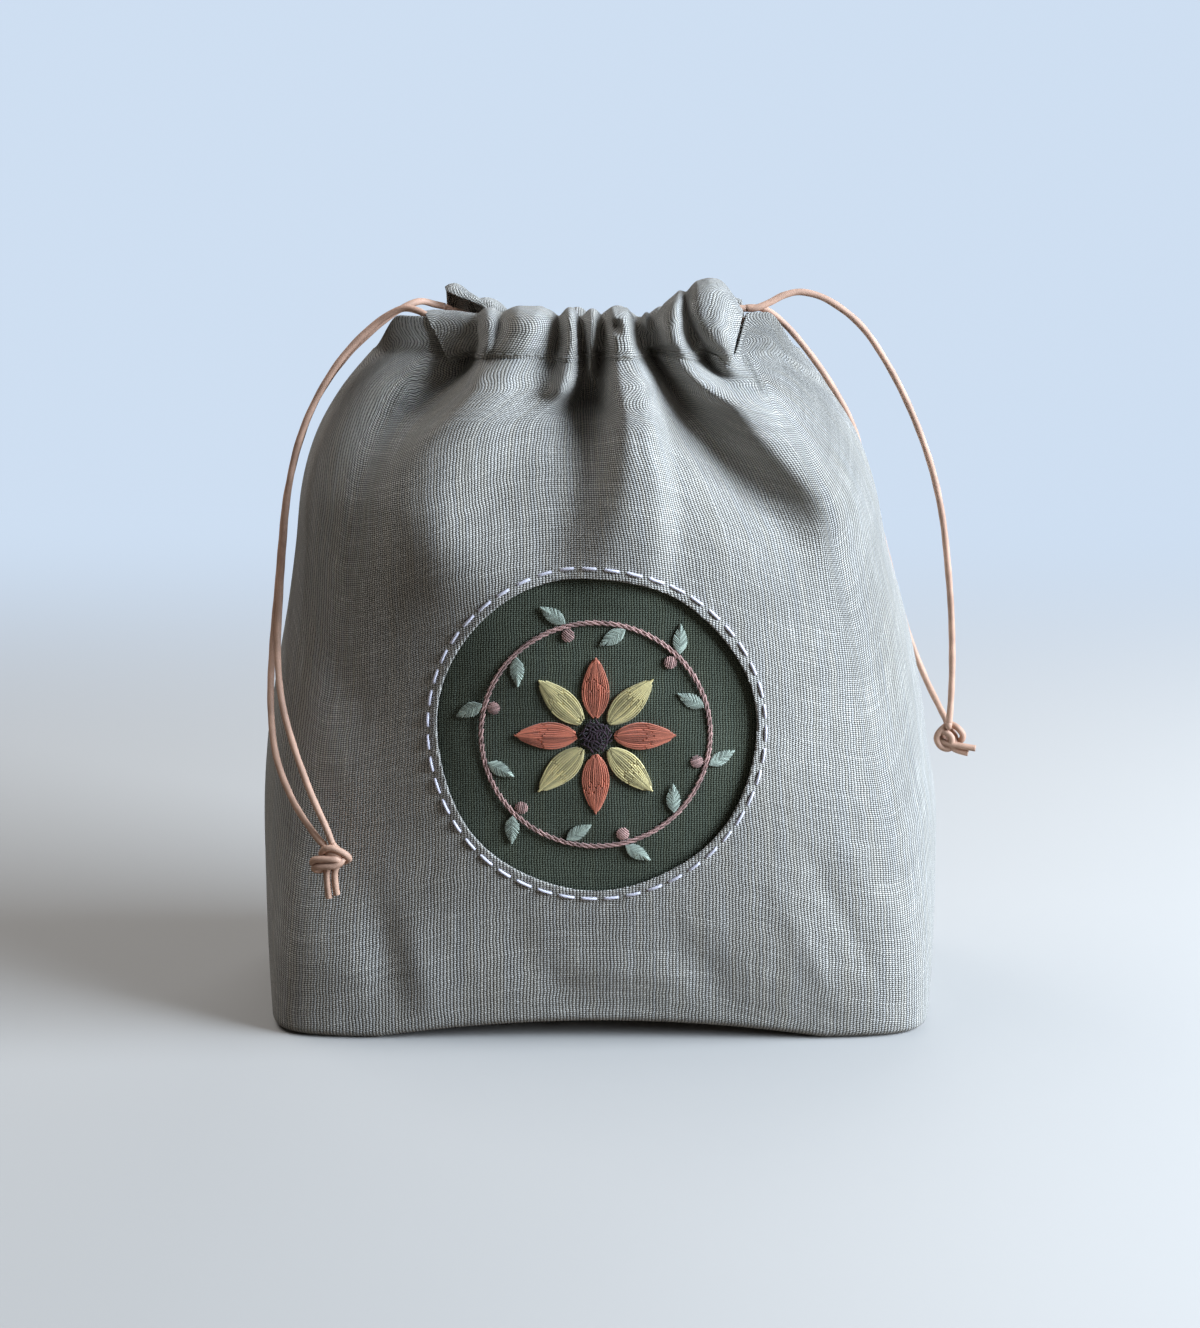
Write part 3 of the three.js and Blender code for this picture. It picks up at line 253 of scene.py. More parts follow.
# Settings by group: their kind, its ways, then key, name, description and default of each
SETTINGS = [
    (BagSizes, FloatProperty, LENGTH, [
        ("belly_half_width", "Belly half width", "Half width at the widest part", 0.1029),
        ("belly_half_depth", "Belly half depth", "Half depth at the belly", 0.0525),
        ("neck_left", "Neck, left", "Reach of the neck to the left", 0.0675),
        ("neck_right", "Neck, right", "Reach of the neck to the right", 0.0595),
        ("neck_half_depth", "Neck half depth", "Half depth of the drawn neck", 0.0135),
        ("wall_height", "Wall height", "Height of the panels' top edge", 0.1995),
        ("base_rounding", "Base rounding", "Radius between base and wall", 0.003),
        ("linen_wall", "Linen thickness", "Thickness of the linen with its facing", 0.0009),
        ("window_radius", "Window radius", "Radius of the round window", 0.046),
        ("window_across", "Window, across", "Place of the window's middle across the front",
         -0.0013),
        ("window_height", "Window height", "Height of the window's middle", 0.0945),
        ("lace_diameter", "Lace diameter", "Diameter of the round leather lace", 0.002)]),
    (BagStitching, IntProperty, {"min": 8}, [
        ("window_stitches", "Window stitches", "Running stitches round the window", 47)]),
    (BagStitching, FloatProperty, LENGTH, [
        ("stitch_length", "Stitch length", "Length of one running stitch", 0.0041),
        ("stitch_thickness", "Stitch thickness", "Thickness of the running stitch's thread",
         0.0009),
        ("stitch_setback", "Stitch setback",
         "Distance of the running stitch from the window's edge", 0.0026),
        ("satin_thickness", "Satin thread", "Thickness of an embroidery thread", 0.00052)]),
    (BagColours, FloatVectorProperty, {"subtype": "COLOR", "size": 3, "min": 0, "max": 1}, [
        (key, label, label + " colour", value) for key, label, value in COLOURS]),
    (BagStage, FloatProperty, {}, [
        ("lens", "Lens", "Focal length on a 36 mm sensor", 65.0)]),
    (BagStage, FloatProperty, LENGTH, [
        ("camera_back", "Camera distance", "How far the camera stands before the bag", 0.711),
        ("camera_height", "Camera height", "Height of the camera", 0.2848)]),
    (BagStage, FloatProperty, {"unit": "ROTATION", "subtype": "ANGLE"}, [
        ("camera_tilt", "Camera tilt", "How far the camera looks down", math.radians(14.363))]),
    (BagStage, FloatProperty, {}, [
        ("key_power", "Window light", "Power of the large soft light", 52.0),
        ("sky_strength", "Sky", "Strength of the even light from all round", 0.058)]),
]

# Where each group of settings hangs on the scene
GROUPS = {"bag_sizes": BagSizes, "bag_stitching": BagStitching, "bag_colours": BagColours,
          "bag_stage": BagStage}


def settings(context):
    return [getattr(context.scene, name) for name in GROUPS]


# Meshes

def link(name, mesh, material=None, smooth=True):
    piece = bpy.data.objects.new(name, mesh)
    bpy.context.scene.collection.objects.link(piece)
    if material is not None:
        mesh.materials.clear()
        mesh.materials.append(material)
    if smooth:
        mesh.shade_smooth()
    return piece


def make_mesh(name, points, faces, uv=None):
    """A mesh from points in millimetres, with a map in metres."""
    mesh = bpy.data.meshes.new(name)
    mesh.from_pydata((np.asarray(points, float) * MM).tolist(), [], [tuple(f) for f in faces])
    if uv is not None:
        layer = mesh.uv_layers.new(name="cloth")
        corners = np.empty(len(mesh.loops), np.int64)
        mesh.loops.foreach_get("vertex_index", corners)
        layer.data.foreach_set("uv", (np.asarray(uv, float)[corners] * MM).ravel())
    mesh.update()
    return mesh


def grid_faces(rows, columns, closed=False):
    """Faces of a grid of points; closed joins the last column to the first."""
    row, column = np.arange(rows - 1), np.arange(columns if closed else columns - 1)
    row, column = [part.ravel() for part in np.meshgrid(row, column, indexing="ij")]
    beside = (column + 1) % columns
    return np.stack([row * columns + column, row * columns + beside,
                     (row + 1) * columns + beside, (row + 1) * columns + column], 1)


def grid_mesh(name, grid, uv, flip):
    """Mesh of a whole grid of cloth; flip turns its faces over."""
    faces = grid_faces(*grid.shape[:2])
    return make_mesh(name, grid.reshape(-1, 3), faces[:, ::-1] if flip else faces,
                     uv.reshape(-1, 2))


def settled(piece):
    """The mesh that a piece's modifiers make of it."""
    graph = bpy.context.evaluated_depsgraph_get()
    return bpy.data.meshes.new_from_object(piece.evaluated_get(graph))


def give_wall(piece, wall):
    """Gives a sheet its thickness, inward, and leaves a plain mesh."""
    thicken = piece.modifiers.new("Wall", "SOLIDIFY")
    thicken.thickness, thicken.offset = wall * MM, -1
    thicken.use_quality_normals = True
    final = settled(piece)
    piece.modifiers.clear()
    piece.data = final


def smooth(t):
    held = np.clip(t, 0, 1)
    return held * held * (3 - 2 * held)


def smooth_read(table, at, column):
    """Smooth reading of one column of rows that start with their place."""
    table = np.asarray(table, float)
    place, value = table[:, 0], table[:, column]
    last, rows = len(place) - 1, np.arange(len(place))
    before, after = np.maximum(0, rows - 1), np.minimum(last, rows + 1)
    slope = (value[after] - value[before]) / (place[after] - place[before])
    at = np.clip(at, place[0], place[-1])
    row = np.clip(np.searchsorted(place, at, side="right") - 1, 0, last - 1)
    span = place[row + 1] - place[row]
    t = (at - place[row]) / span
    return ((2 * t ** 3 - 3 * t ** 2 + 1) * value[row]
            + (t ** 3 - 2 * t ** 2 + t) * span * slope[row]
            + (3 * t ** 2 - 2 * t ** 3) * value[row + 1]
            + (t ** 3 - t ** 2) * span * slope[row + 1])


def smooth_path(points, step):
    """Points every step or so along a smooth curve through given points."""
    points = np.asarray(points, float)
    padded = np.vstack([2 * points[0] - points[1], points, 2 * points[-1] - points[-2]])
    out = []
    for i in range(1, len(padded) - 2):
        a, b, c, d = padded[i - 1:i + 3]
        count = max(2, int(round(np.linalg.norm(c - b) / step)))
        t = (np.arange(count) / count)[:, None]
        out.append(0.5 * (2 * b + (c - a) * t + (2 * a - 5 * b + 4 * c - d) * t ** 2
                          + (3 * b - a - 3 * c + d) * t ** 3))
    return np.vstack(out + [points[-1:]])


def tube(path, radius, sides, flat_end=0.0):
    """Points, faces and map of a round tube with closed ends along a path in millimetres."""
    path = np.asarray(path, float)
    count = len(path)
    radius = np.broadcast_to(np.asarray(radius, float), (count,))
    along = np.gradient(path, axis=0)
    along /= np.linalg.norm(along, axis=1)[:, None]
    side = np.cross(along[0], (0, 0, 1) if abs(along[0][2]) < 0.9 else (1, 0, 0))
    turn = 2 * np.pi * np.arange(sides) / sides
    points, uv, done = [], [], 0.0
    for i, direction in enumerate(along):
        side = side - direction * (side @ direction)
        side /= np.linalg.norm(side)
        other = np.cross(direction, side)
        if i:
            done += np.linalg.norm(path[i] - path[i - 1])
        ring = np.cos(turn)[:, None] * side + np.sin(turn)[:, None] * other
        points.append(path[i] + radius[i] * ring)
        uv.append(np.stack([turn * radius[i], np.full(sides, done)], 1))
    ends = [path[:1] + along[:1] * flat_end, path[-1:] - along[-1:] * flat_end]
    centre, last = count * sides, (count - 1) * sides
    faces = [tuple(face) for face in grid_faces(count, sides, closed=True)]
    faces += [(centre, (k + 1) % sides, k) for k in range(sides)]
    faces += [(centre + 1, last + k, last + (k + 1) % sides) for k in range(sides)]
    return np.vstack(points + ends), faces, np.vstack(uv + [[[0, 0], [0, done]]])


def joined(parts):
    """Several sets of points, faces and maps as one."""
    points, faces, uv, start = [], [], [], 0
    for part_points, part_faces, part_uv in parts:
        points.append(part_points)
        uv.append(part_uv)
        faces += [tuple(int(i) + start for i in face) for face in part_faces]
        start += len(part_points)
    return np.vstack(points), faces, np.vstack(uv)


# Shape of the bag

# Squareness of the sections: at the neck, and how much more at the base
NECK_SQUARE, BASE_SQUARE = 2.2, 6.8
# How much the gathers thicken the neck, from what height and over what rise
GATHER, GATHER_FROM, GATHER_OVER = 4.2, 176, 24
# Height of the slow waves that all the cloth has
WAVE = 0.34
# How far the middle of the bottom edge stands off the table, and how far to the sides that reaches
ARCH, ARCH_REACH, BACK_ARCH_SHARE = 5.2, 66, 0.4
# How much of the base's half width its seam spans, and half the gap between the halves
BASE_SEAM_SHARE, HALF_GAP = 0.72, 0.15


class Side:
    """One half of the bag: facing -1 is the front and 1 the back.

    drop is how far its rim hangs under the wall's height, slit how far the cloth beside the
    casing rises, and lifts where the cords' tunnel stands higher: place across, width, rise.
    """

    def __init__(self, name, facing, folds, creases, drop, slit, lifts):
        self.name, self.facing, self.creases = name, facing, creases
        self.drop, self.slit, self.lifts = drop, slit, lifts
        self.folds = [(flanks, np.array(rows, float)[::-1][:, [1, 0, 2, 3, 4]])
                      for flanks, rows in folds]

    def push(self, x, z):
        """How far folds and creases move the cloth out."""
        x, z = np.broadcast_arrays(np.asarray(x, float), np.asarray(z, float))
        total = np.zeros(x.shape)
        for flanks, rows in self.folds:
            off = x - smooth_read(rows, z, 1)
            left = off < 0
            reach = np.where(left, smooth_read(rows, z, 3), smooth_read(rows, z, 4))
            steep = np.where(left, *flanks)
            total = total + smooth_read(rows, z, 2) * np.exp(-np.abs(off / reach) ** steep)
        for start, end, rise, width in self.creases:
            start, end = np.array(start, float), np.array(end, float)
            run = end - start
            share = np.clip(((x - start[0]) * run[0] + (z - start[1]) * run[1]) / (run @ run), 0, 1)
            far = np.hypot(x - start[0] - share * run[0], z - start[1] - share * run[1])
            fade = 0.35 + 0.65 * np.sin(np.pi * share)
            total = total + rise * fade * np.exp(-(far / width) ** 2)
        wave = (np.sin(x / 17.0 + z / 41.0 + self.facing) * np.sin(z / 23.0 - x / 61.0)
                + 0.6 * np.sin(x / 9.3 - z / 15.1) * np.sin(z / 12.7 + x / 31.0 + 1.3))
        return total + WAVE * wave * smooth((z - 6) / 20)


FRONT = Side("front", -1, FRONT_FOLDS, FRONT_CREASES, 0.0, 10.5, [(34, 11, 6)])
BACK = Side("back", 1, BACK_FOLDS, BACK_CREASES, 3.0, 8.0, [(-48, 12, 5), (46, 12, 5)])


def fullness(z):
    """How much the gathers thicken the neck."""
    return GATHER * smooth((np.asarray(z, float) - GATHER_FROM) / GATHER_OVER)


def bulge(share, square):
    """How far a section of some squareness still reaches out, at a share of its half width."""
    return (1 - share ** square) ** (1 / square)


class Body:
    """The bag's sections, in millimetres, from the sizes of the scene."""

    def __init__(self, sizes):
        self.belly_width = sizes.belly_half_width / MM
        self.belly_depth = sizes.belly_half_depth / MM
        self.neck_left, self.neck_right = sizes.neck_left / MM, sizes.neck_right / MM
        self.neck_depth, self.top = sizes.neck_half_depth / MM, sizes.wall_height / MM
        self.rounding, self.wall = sizes.base_rounding / MM, sizes.linen_wall / MM
        self.window = np.array([sizes.window_across, sizes.window_height]) / MM
        self.window_radius = sizes.window_radius / MM

    def section(self, z):
        """Half width, centre, half depth and squareness of the plain section at a height."""
        z = np.asarray(z, float)
        scaled = z / self.top * SWELL[-1, 0]
        left, right, depth = [
            neck + (belly - neck) * smooth_read(SWELL, scaled, column) for column, neck, belly in [
                (1, self.neck_left, self.belly_width), (2, self.neck_right, self.belly_width),
                (3, self.neck_depth, self.belly_depth)]]
        square = NECK_SQUARE + BASE_SQUARE * np.maximum(0, 1 - z / self.top) ** 6
        return (left + right) / 2, (right - left) / 2, depth, square

    def depth_at(self, side, x, z):
        """Distance of the cloth's outer face from the middle plane."""
        half, centre, depth, square = self.section(z)
        across = np.minimum(1, np.abs((x - centre) / half))
        bare = (depth + fullness(z)) * bulge(across, square)
        return bare + side.push(x, z) * (1 - across ** 4)

    def on_face(self, side, x, z, inset):
        """Points on the outer face, moved in along its normal, and the normals."""
        x, z = np.broadcast_arrays(np.asarray(x, float), np.asarray(z, float))
        step = 0.5

        def at(px, pz):
            return np.stack([px, side.facing * self.depth_at(side, px, pz), pz], -1)

        normal = np.cross(at(x + step, z) - at(x - step, z), at(x, z + step) - at(x, z - step))
        normal /= np.linalg.norm(normal, axis=-1)[..., None]
        normal *= np.sign(normal[..., 1] * side.facing)[..., None]
        return at(x, z) - normal * np.asarray(inset, float)[..., None], normal

    def ring(self, side, share, z, inset=0.0, folds=True):
        """Points round half the bag, evenly spaced along the plain section at each height."""
        z = np.broadcast_to(np.asarray(z, float), share.shape)
        half, centre, depth, square = [
            np.broadcast_to(value, share.shape)[:, None] for value in self.section(z)]
        depth = depth + fullness(z)[:, None]
        # From the middle of the face to the side: first by steps across, then by steps outward
        face = np.broadcast_to(np.linspace(0, 0.9, 90), (len(share), 90))
        out = bulge(face, square)
        flank = out[:, -1:] * np.linspace(1, 0, 91)[1:]
        across = np.concatenate([face, bulge(flank, square)], 1)
        out = np.concatenate([out, flank], 1)
        step = np.hypot(np.diff(across, axis=1) * half, np.diff(out, axis=1) * depth)
        length = np.concatenate([np.zeros((len(share), 1)), np.cumsum(step, axis=1)], 1)
        wanted = np.abs(2 * share - 1) * length[:, -1]
        place, reach = [np.array([np.interp(*row) for row in zip(wanted, length, values)])
                        for values in (across, out)]
        place = place * np.sign(2 * share - 1)
        x = centre[:, 0] + (half[:, 0] - inset) * place
        y = (depth[:, 0] - inset) * reach
        if folds:
            pushed = y + side.push(x, z) * (1 - np.abs(place) ** 4)
            y = np.maximum(0.2 * np.minimum(y, 3), pushed)
            # Draws the cloth in along the side seam
            x = x - np.sign(place) * 0.9 * np.exp(-(y / 2.0) ** 2)
        return np.stack([x, side.facing * (y + HALF_GAP), z], -1)

    def top_edge(self, side, x):
        """Height of the panel's top edge: it rises to the ends of the slits beside the casing."""
        left = smooth((x + 67.5) / 9) * (1 - smooth((x + 50) / 6))
        right = smooth((59.5 - x) / 11) * (1 - smooth((43 - x) / 4))
        return self.top - side.drop * 0.6 + side.slit * left + 1.1 * side.slit * right

    def half_grid(self, side, columns, base_rows, round_rows, wall_rows, top=None, inset=0.0):
        """Grid over half the bag: its half of the base, the rounding and the wall."""
        share = np.linspace(0, 1, columns)
        half, centre, _, _ = self.section(0)
        seam = np.stack([centre + BASE_SEAM_SHARE * half * (2 * share - 1),
                         np.full(columns, side.facing * HALF_GAP), np.zeros(columns)], -1)
        rim = self.ring(side, share, 0.0, self.rounding + inset, False)
        rows = [seam + (rim - seam) * t for t in np.linspace(0, 1, base_rows)]
        for turn in np.linspace(0, np.pi / 2, round_rows + 1)[1:]:
            rows.append(self.ring(side, share, self.rounding * (1 - math.cos(turn)),
                                  self.rounding * (1 - math.sin(turn)) + inset, False))
        edge = self.ring(side, share, self.top, 0.0, False)[:, 0]
        top = self.top_edge(side, edge) if top is None else np.full(columns, top)
        for t in np.linspace(0, 1, wall_rows + 1)[1:]:
            climb = 1 - (1 - t) ** 1.18
            z = self.rounding + (top - self.rounding) * climb
            rows.append(self.ring(side, share, z, inset))
        grid = np.array(rows)
        grid[..., 2] += inset * (1 - smooth(grid[..., 2] / 12))
        arch = ARCH * np.maximum(0, 1 - (grid[..., 0] / ARCH_REACH) ** 2)
        outer = smooth((np.abs(grid[..., 1]) - 18) / 24) * (1 - smooth((grid[..., 2] - 3) / 26))
        grid[..., 2] += (1 if side is FRONT else BACK_ARCH_SHARE) * arch * outer
        return grid


def cloth_map(grid, keep=0.6):
    """Map of a grid of cloth, in millimetres: threads keep their spacing and follow folds."""
    step = np.linalg.norm(np.diff(grid, axis=1), axis=2)
    along = np.concatenate([np.zeros((len(grid), 1)), np.cumsum(step, axis=1)], axis=1)
    length = along[:, -1:]
    middle = along[:, [grid.shape[1] // 2]]
    u = (along - middle) * (keep + (1 - keep) * length.max() / length)
    rise = np.linalg.norm(np.diff(grid, axis=0), axis=2)
    v = np.concatenate([np.zeros((1, grid.shape[1])), np.cumsum(rise, axis=0)], axis=0)
    return np.stack([u, v], -1)


def cut_round(points, uv, signed):
    """Cuts a grid of points where signed is 0; gives points, map and faces of the part above."""
    quads = grid_faces(*signed.shape)
    signed = np.where(np.abs(signed) < 1e-6, 1e-6, signed).ravel()
    points, uv = points.reshape(-1, 3), uv.reshape(-1, 2)
    inside = signed[quads] > 0
    new_points, new_uv, made = [], [], {}

    def crossing(a, b):
        key = (min(a, b), max(a, b))
        if key not in made:
            t = signed[a] / (signed[a] - signed[b])
            made[key] = len(points) + len(new_points)
            new_points.append(points[a] + (points[b] - points[a]) * t)
            new_uv.append(uv[a] + (uv[b] - uv[a]) * t)
        return made[key]

    faces = [tuple(quad) for quad in quads[inside.all(1)]]
    for quad in quads[inside.any(1) & ~inside.all(1)]:
        loop = []
        for a, b in zip(quad, np.roll(quad, -1)):
            if signed[a] > 0:
                loop.append(a)
            if (signed[a] > 0) != (signed[b] > 0):
                loop.append(crossing(a, b))
        if len(loop) > 2:
            faces.append(tuple(loop))
    used = np.unique(np.concatenate(faces))
    place = np.full(len(points) + len(new_points), -1)
    place[used] = np.arange(len(used))
    return (np.vstack([points, new_points])[used], np.vstack([uv, new_uv])[used],
            [tuple(place[list(face)]) for face in faces])


# Geometry Nodes

class Nodes:
    """Short way to put and join nodes in a tree."""

    def __init__(self, tree):
        self.tree = tree

    def put(self, kind, inputs=None, **values):
        made = self.tree.nodes.new(kind)
        for key, value in values.items():
            setattr(made, key, value)
        for key, value in (inputs or {}).items():
            self.feed(made.inputs[key], value)
        return made

    def feed(self, socket, value):
        if isinstance(value, bpy.types.Node):
            value = value.outputs[0]
        if isinstance(value, bpy.types.NodeSocket):
            self.tree.links.new(value, socket)
        else:
            socket.default_value = value

    def math(self, operation, *values, clamp=False):
        made = self.put("ShaderNodeMath", operation=operation, use_clamp=clamp)
        for socket, value in zip(made.inputs, values):
            self.feed(socket, value)
        return made.outputs[0]

    def plus(self, first, second, clamp=False):
        return self.math("ADD", first, second, clamp=clamp)

    def minus(self, first, second):
        return self.math("SUBTRACT", first, second)

    def times(self, first, second):
        return self.math("MULTIPLY", first, second)

    def times_plus(self, first, second, third):
        return self.math("MULTIPLY_ADD", first, second, third)

    def span(self, value, low, high, to_low=0.0, to_high=1.0):
        return self.put("ShaderNodeMapRange", {
            0: value, 1: low, 2: high, 3: to_low, 4: to_high}).outputs[0]

    def same(self, value):
        """A grey of one value, or a vector with it three times."""
        return self.put("ShaderNodeCombineXYZ", {"X": value, "Y": value, "Z": value})

    def noise(self, at, scale, detail):
        return self.put("ShaderNodeTexNoise", {
            "Vector": at, "Scale": scale, "Detail": detail}).outputs[0]


def tree_with(name, sockets):
    """An empty geometry tree with a geometry in and out and the named inputs."""
    tree = bpy.data.node_groups.new(name, "GeometryNodeTree")
    tree.interface.new_socket(name="Geometry", in_out="OUTPUT", socket_type="NodeSocketGeometry")
    tree.interface.new_socket(name="Geometry", in_out="INPUT", socket_type="NodeSocketGeometry")
    for label, kind in sockets:
        tree.interface.new_socket(name=label, in_out="INPUT", socket_type=kind)
    nodes = Nodes(tree)
    return tree, nodes, nodes.put("NodeGroupInput"), nodes.put("NodeGroupOutput")


def swept(nodes, curve, sides, thickness):
    """A round thread along a curve, closed at both ends."""
    section = nodes.put("GeometryNodeCurvePrimitiveCircle", {
        "Resolution": sides, "Radius": nodes.times(thickness, 0.5)})
    return nodes.put("GeometryNodeCurveToMesh", {
        "Curve": curve, "Profile Curve": section, "Fill Caps": True})


def bow_along(nodes, clamp=False):
    """Half a sine wave along each path."""
    share = nodes.put("GeometryNodeSplineParameter").outputs["Factor"]
    return nodes.math("SINE", nodes.times(share, math.pi), clamp=clamp)


def give_out(nodes, made, geometry, thread):
    """Ends a tree with real geometry in the thread's material."""
    real = nodes.put("GeometryNodeRealizeInstances", {"Geometry": geometry})
    nodes.feed(made.inputs["Geometry"], nodes.put("GeometryNodeSetMaterial", {
        "Geometry": real, "Material": thread}))


def stitch_row_tree():
    """Running stitches set at even steps along a path, each bedded in the cloth at both ends."""
    tree, nodes, given, made = tree_with("Stitch row", [
        ("Count", "NodeSocketInt"), ("Stitch length", "NodeSocketFloat"),
        ("Thread thickness", "NodeSocketFloat"), ("Rise", "NodeSocketFloat"),
        ("Unevenness", "NodeSocketFloat"), ("Seed", "NodeSocketInt"),
        ("Thread", "NodeSocketMaterial")])
    ask = given.outputs
    line = nodes.put("GeometryNodeMeshToCurve", {"Mesh": ask["Geometry"]})
    spaced = nodes.put("GeometryNodeResampleCurve", {
        "Curve": line, "Count": ask["Count"]}, mode="COUNT")
    tangent = nodes.put("GeometryNodeInputTangent")
    facing = nodes.put("GeometryNodeInputNamedAttribute", {"Name": "facing"},
                       data_type="FLOAT_VECTOR")
    turned = nodes.put("FunctionNodeAlignRotationToVector", {"Vector": tangent}, axis="X")
    upright = nodes.put("FunctionNodeAlignRotationToVector",
                        {"Rotation": turned, "Vector": facing}, axis="Z", pivot_axis="X")
    half = nodes.times(ask["Stitch length"], 0.5)
    start = nodes.put("ShaderNodeCombineXYZ", {"X": nodes.times(half, -1.0)})
    end = nodes.put("ShaderNodeCombineXYZ", {"X": half})
    thread = nodes.put("GeometryNodeCurvePrimitiveLine", {"Start": start, "End": end})
    thread = nodes.put("GeometryNodeResampleCurve", {"Curve": thread, "Count": 9}, mode="COUNT")
    bow = bow_along(nodes)
    lift = nodes.times(nodes.math("POWER", bow, 0.45), ask["Rise"])
    thread = nodes.put("GeometryNodeSetPosition", {
        "Geometry": thread, "Offset": nodes.put("ShaderNodeCombineXYZ", {"Z": lift})})
    fat = nodes.times_plus(nodes.math("POWER", bow, 0.3), 0.5, 0.5)
    thread = nodes.put("GeometryNodeSetCurveRadius", {"Curve": thread, "Radius": fat})
    uneven = nodes.put("FunctionNodeRandomValue", {
        2: nodes.minus(1.0, ask["Unevenness"]), 3: nodes.plus(1.0, ask["Unevenness"]),
        "Seed": ask["Seed"]}, data_type="FLOAT")
    stretch = nodes.put("ShaderNodeCombineXYZ", {"X": uneven.outputs[1], "Y": 1.0, "Z": 1.0})
    row = nodes.put("GeometryNodeInstanceOnPoints", {
        "Points": spaced, "Instance": swept(nodes, thread, 8, ask["Thread thickness"]),
        "Rotation": upright, "Scale": stretch})
    give_out(nodes, made, row, ask["Thread"])
    return tree


def laid_thread_tree():
    """Threads laid along many short paths, each thinner at its ends."""
    tree, nodes, given, made = tree_with("Laid threads", [
        ("Thread thickness", "NodeSocketFloat"), ("End share", "NodeSocketFloat"),
        ("Section sides", "NodeSocketInt"), ("Thread", "NodeSocketMaterial")])
    ask = given.outputs
    line = nodes.put("GeometryNodeMeshToCurve", {"Mesh": ask["Geometry"]})
    body = nodes.minus(1.0, ask["End share"])
    bow = nodes.math("POWER", bow_along(nodes, clamp=True), 0.4)
    line = nodes.put("GeometryNodeSetCurveRadius", {
        "Curve": line, "Radius": nodes.times_plus(bow, body, ask["End share"])})
    solid = swept(nodes, line, ask["Section sides"], ask["Thread thickness"])
    give_out(nodes, made, solid, ask["Thread"])
    return tree


def grow(name, mesh, tree, values):
    """Runs a geometry tree on a path mesh and leaves a plain piece."""
    carrier = link(name + "_path", mesh, smooth=False)
    modifier = carrier.modifiers.new("Rule", "NODES")
    modifier.node_group = tree
    for item in tree.interface.items_tree:
        if item.in_out == "INPUT" and item.name in values:
            modifier[item.identifier] = values[item.name]
    plain = settled(carrier)
    bpy.data.objects.remove(carrier)
    if not len(plain.polygons):
        raise RuntimeError(f"{name}: the rule made no faces")
    plain.name = name
    return link(name, plain)


def path_mesh(name, paths, facing=None, closed=False, shades=None):
    """Edges along paths in millimetres, with each point's facing and shade."""
    points, edges = [], []
    for path in paths:
        start = len(points)
        points += [list(p) for p in path]
        edges += [(start + i, start + i + 1) for i in range(len(path) - 1)]
        if closed:
            edges.append((start + len(path) - 1, start))
    mesh = bpy.data.meshes.new(name)
    mesh.from_pydata((np.array(points) * MM).tolist(), edges, [])
    if facing is not None:
        data = mesh.attributes.new("facing", "FLOAT_VECTOR", "POINT").data
        data.foreach_set("vector", np.vstack(facing).ravel())
    if shades is not None:
        data = mesh.attributes.new("shade", "FLOAT", "POINT").data
        data.foreach_set("value", np.repeat(shades, [len(p) for p in paths]).astype(np.float32))
    return mesh


# Materials

def new_material(name):
    material = bpy.data.materials.new(name)
    material.use_nodes = True
    nodes = Nodes(material.node_tree)
    return material, nodes, material.node_tree.nodes["Principled BSDF"]


def rgba(colour):
    return (*colour, 1.0)


def mixed(nodes, share, first, second, kind="MIX"):
    made = nodes.put("ShaderNodeMix", data_type="RGBA", blend_type=kind)
    nodes.feed(made.inputs[0], share)
    nodes.feed(made.inputs[6], first)
    nodes.feed(made.inputs[7], second)
    return made.outputs[2]


def coat(nodes, shader, colour, relief, bump, values):
    """Joins up a surface: its colour, its bump's strength and depth, and further values."""
    for label, value in {"Base Color": colour, **values}.items():
        nodes.feed(shader.inputs[label], value)
    strength, distance = bump
    nodes.feed(shader.inputs["Normal"], nodes.put("ShaderNodeBump", {
        "Strength": strength, "Distance": distance, "Height": relief}))


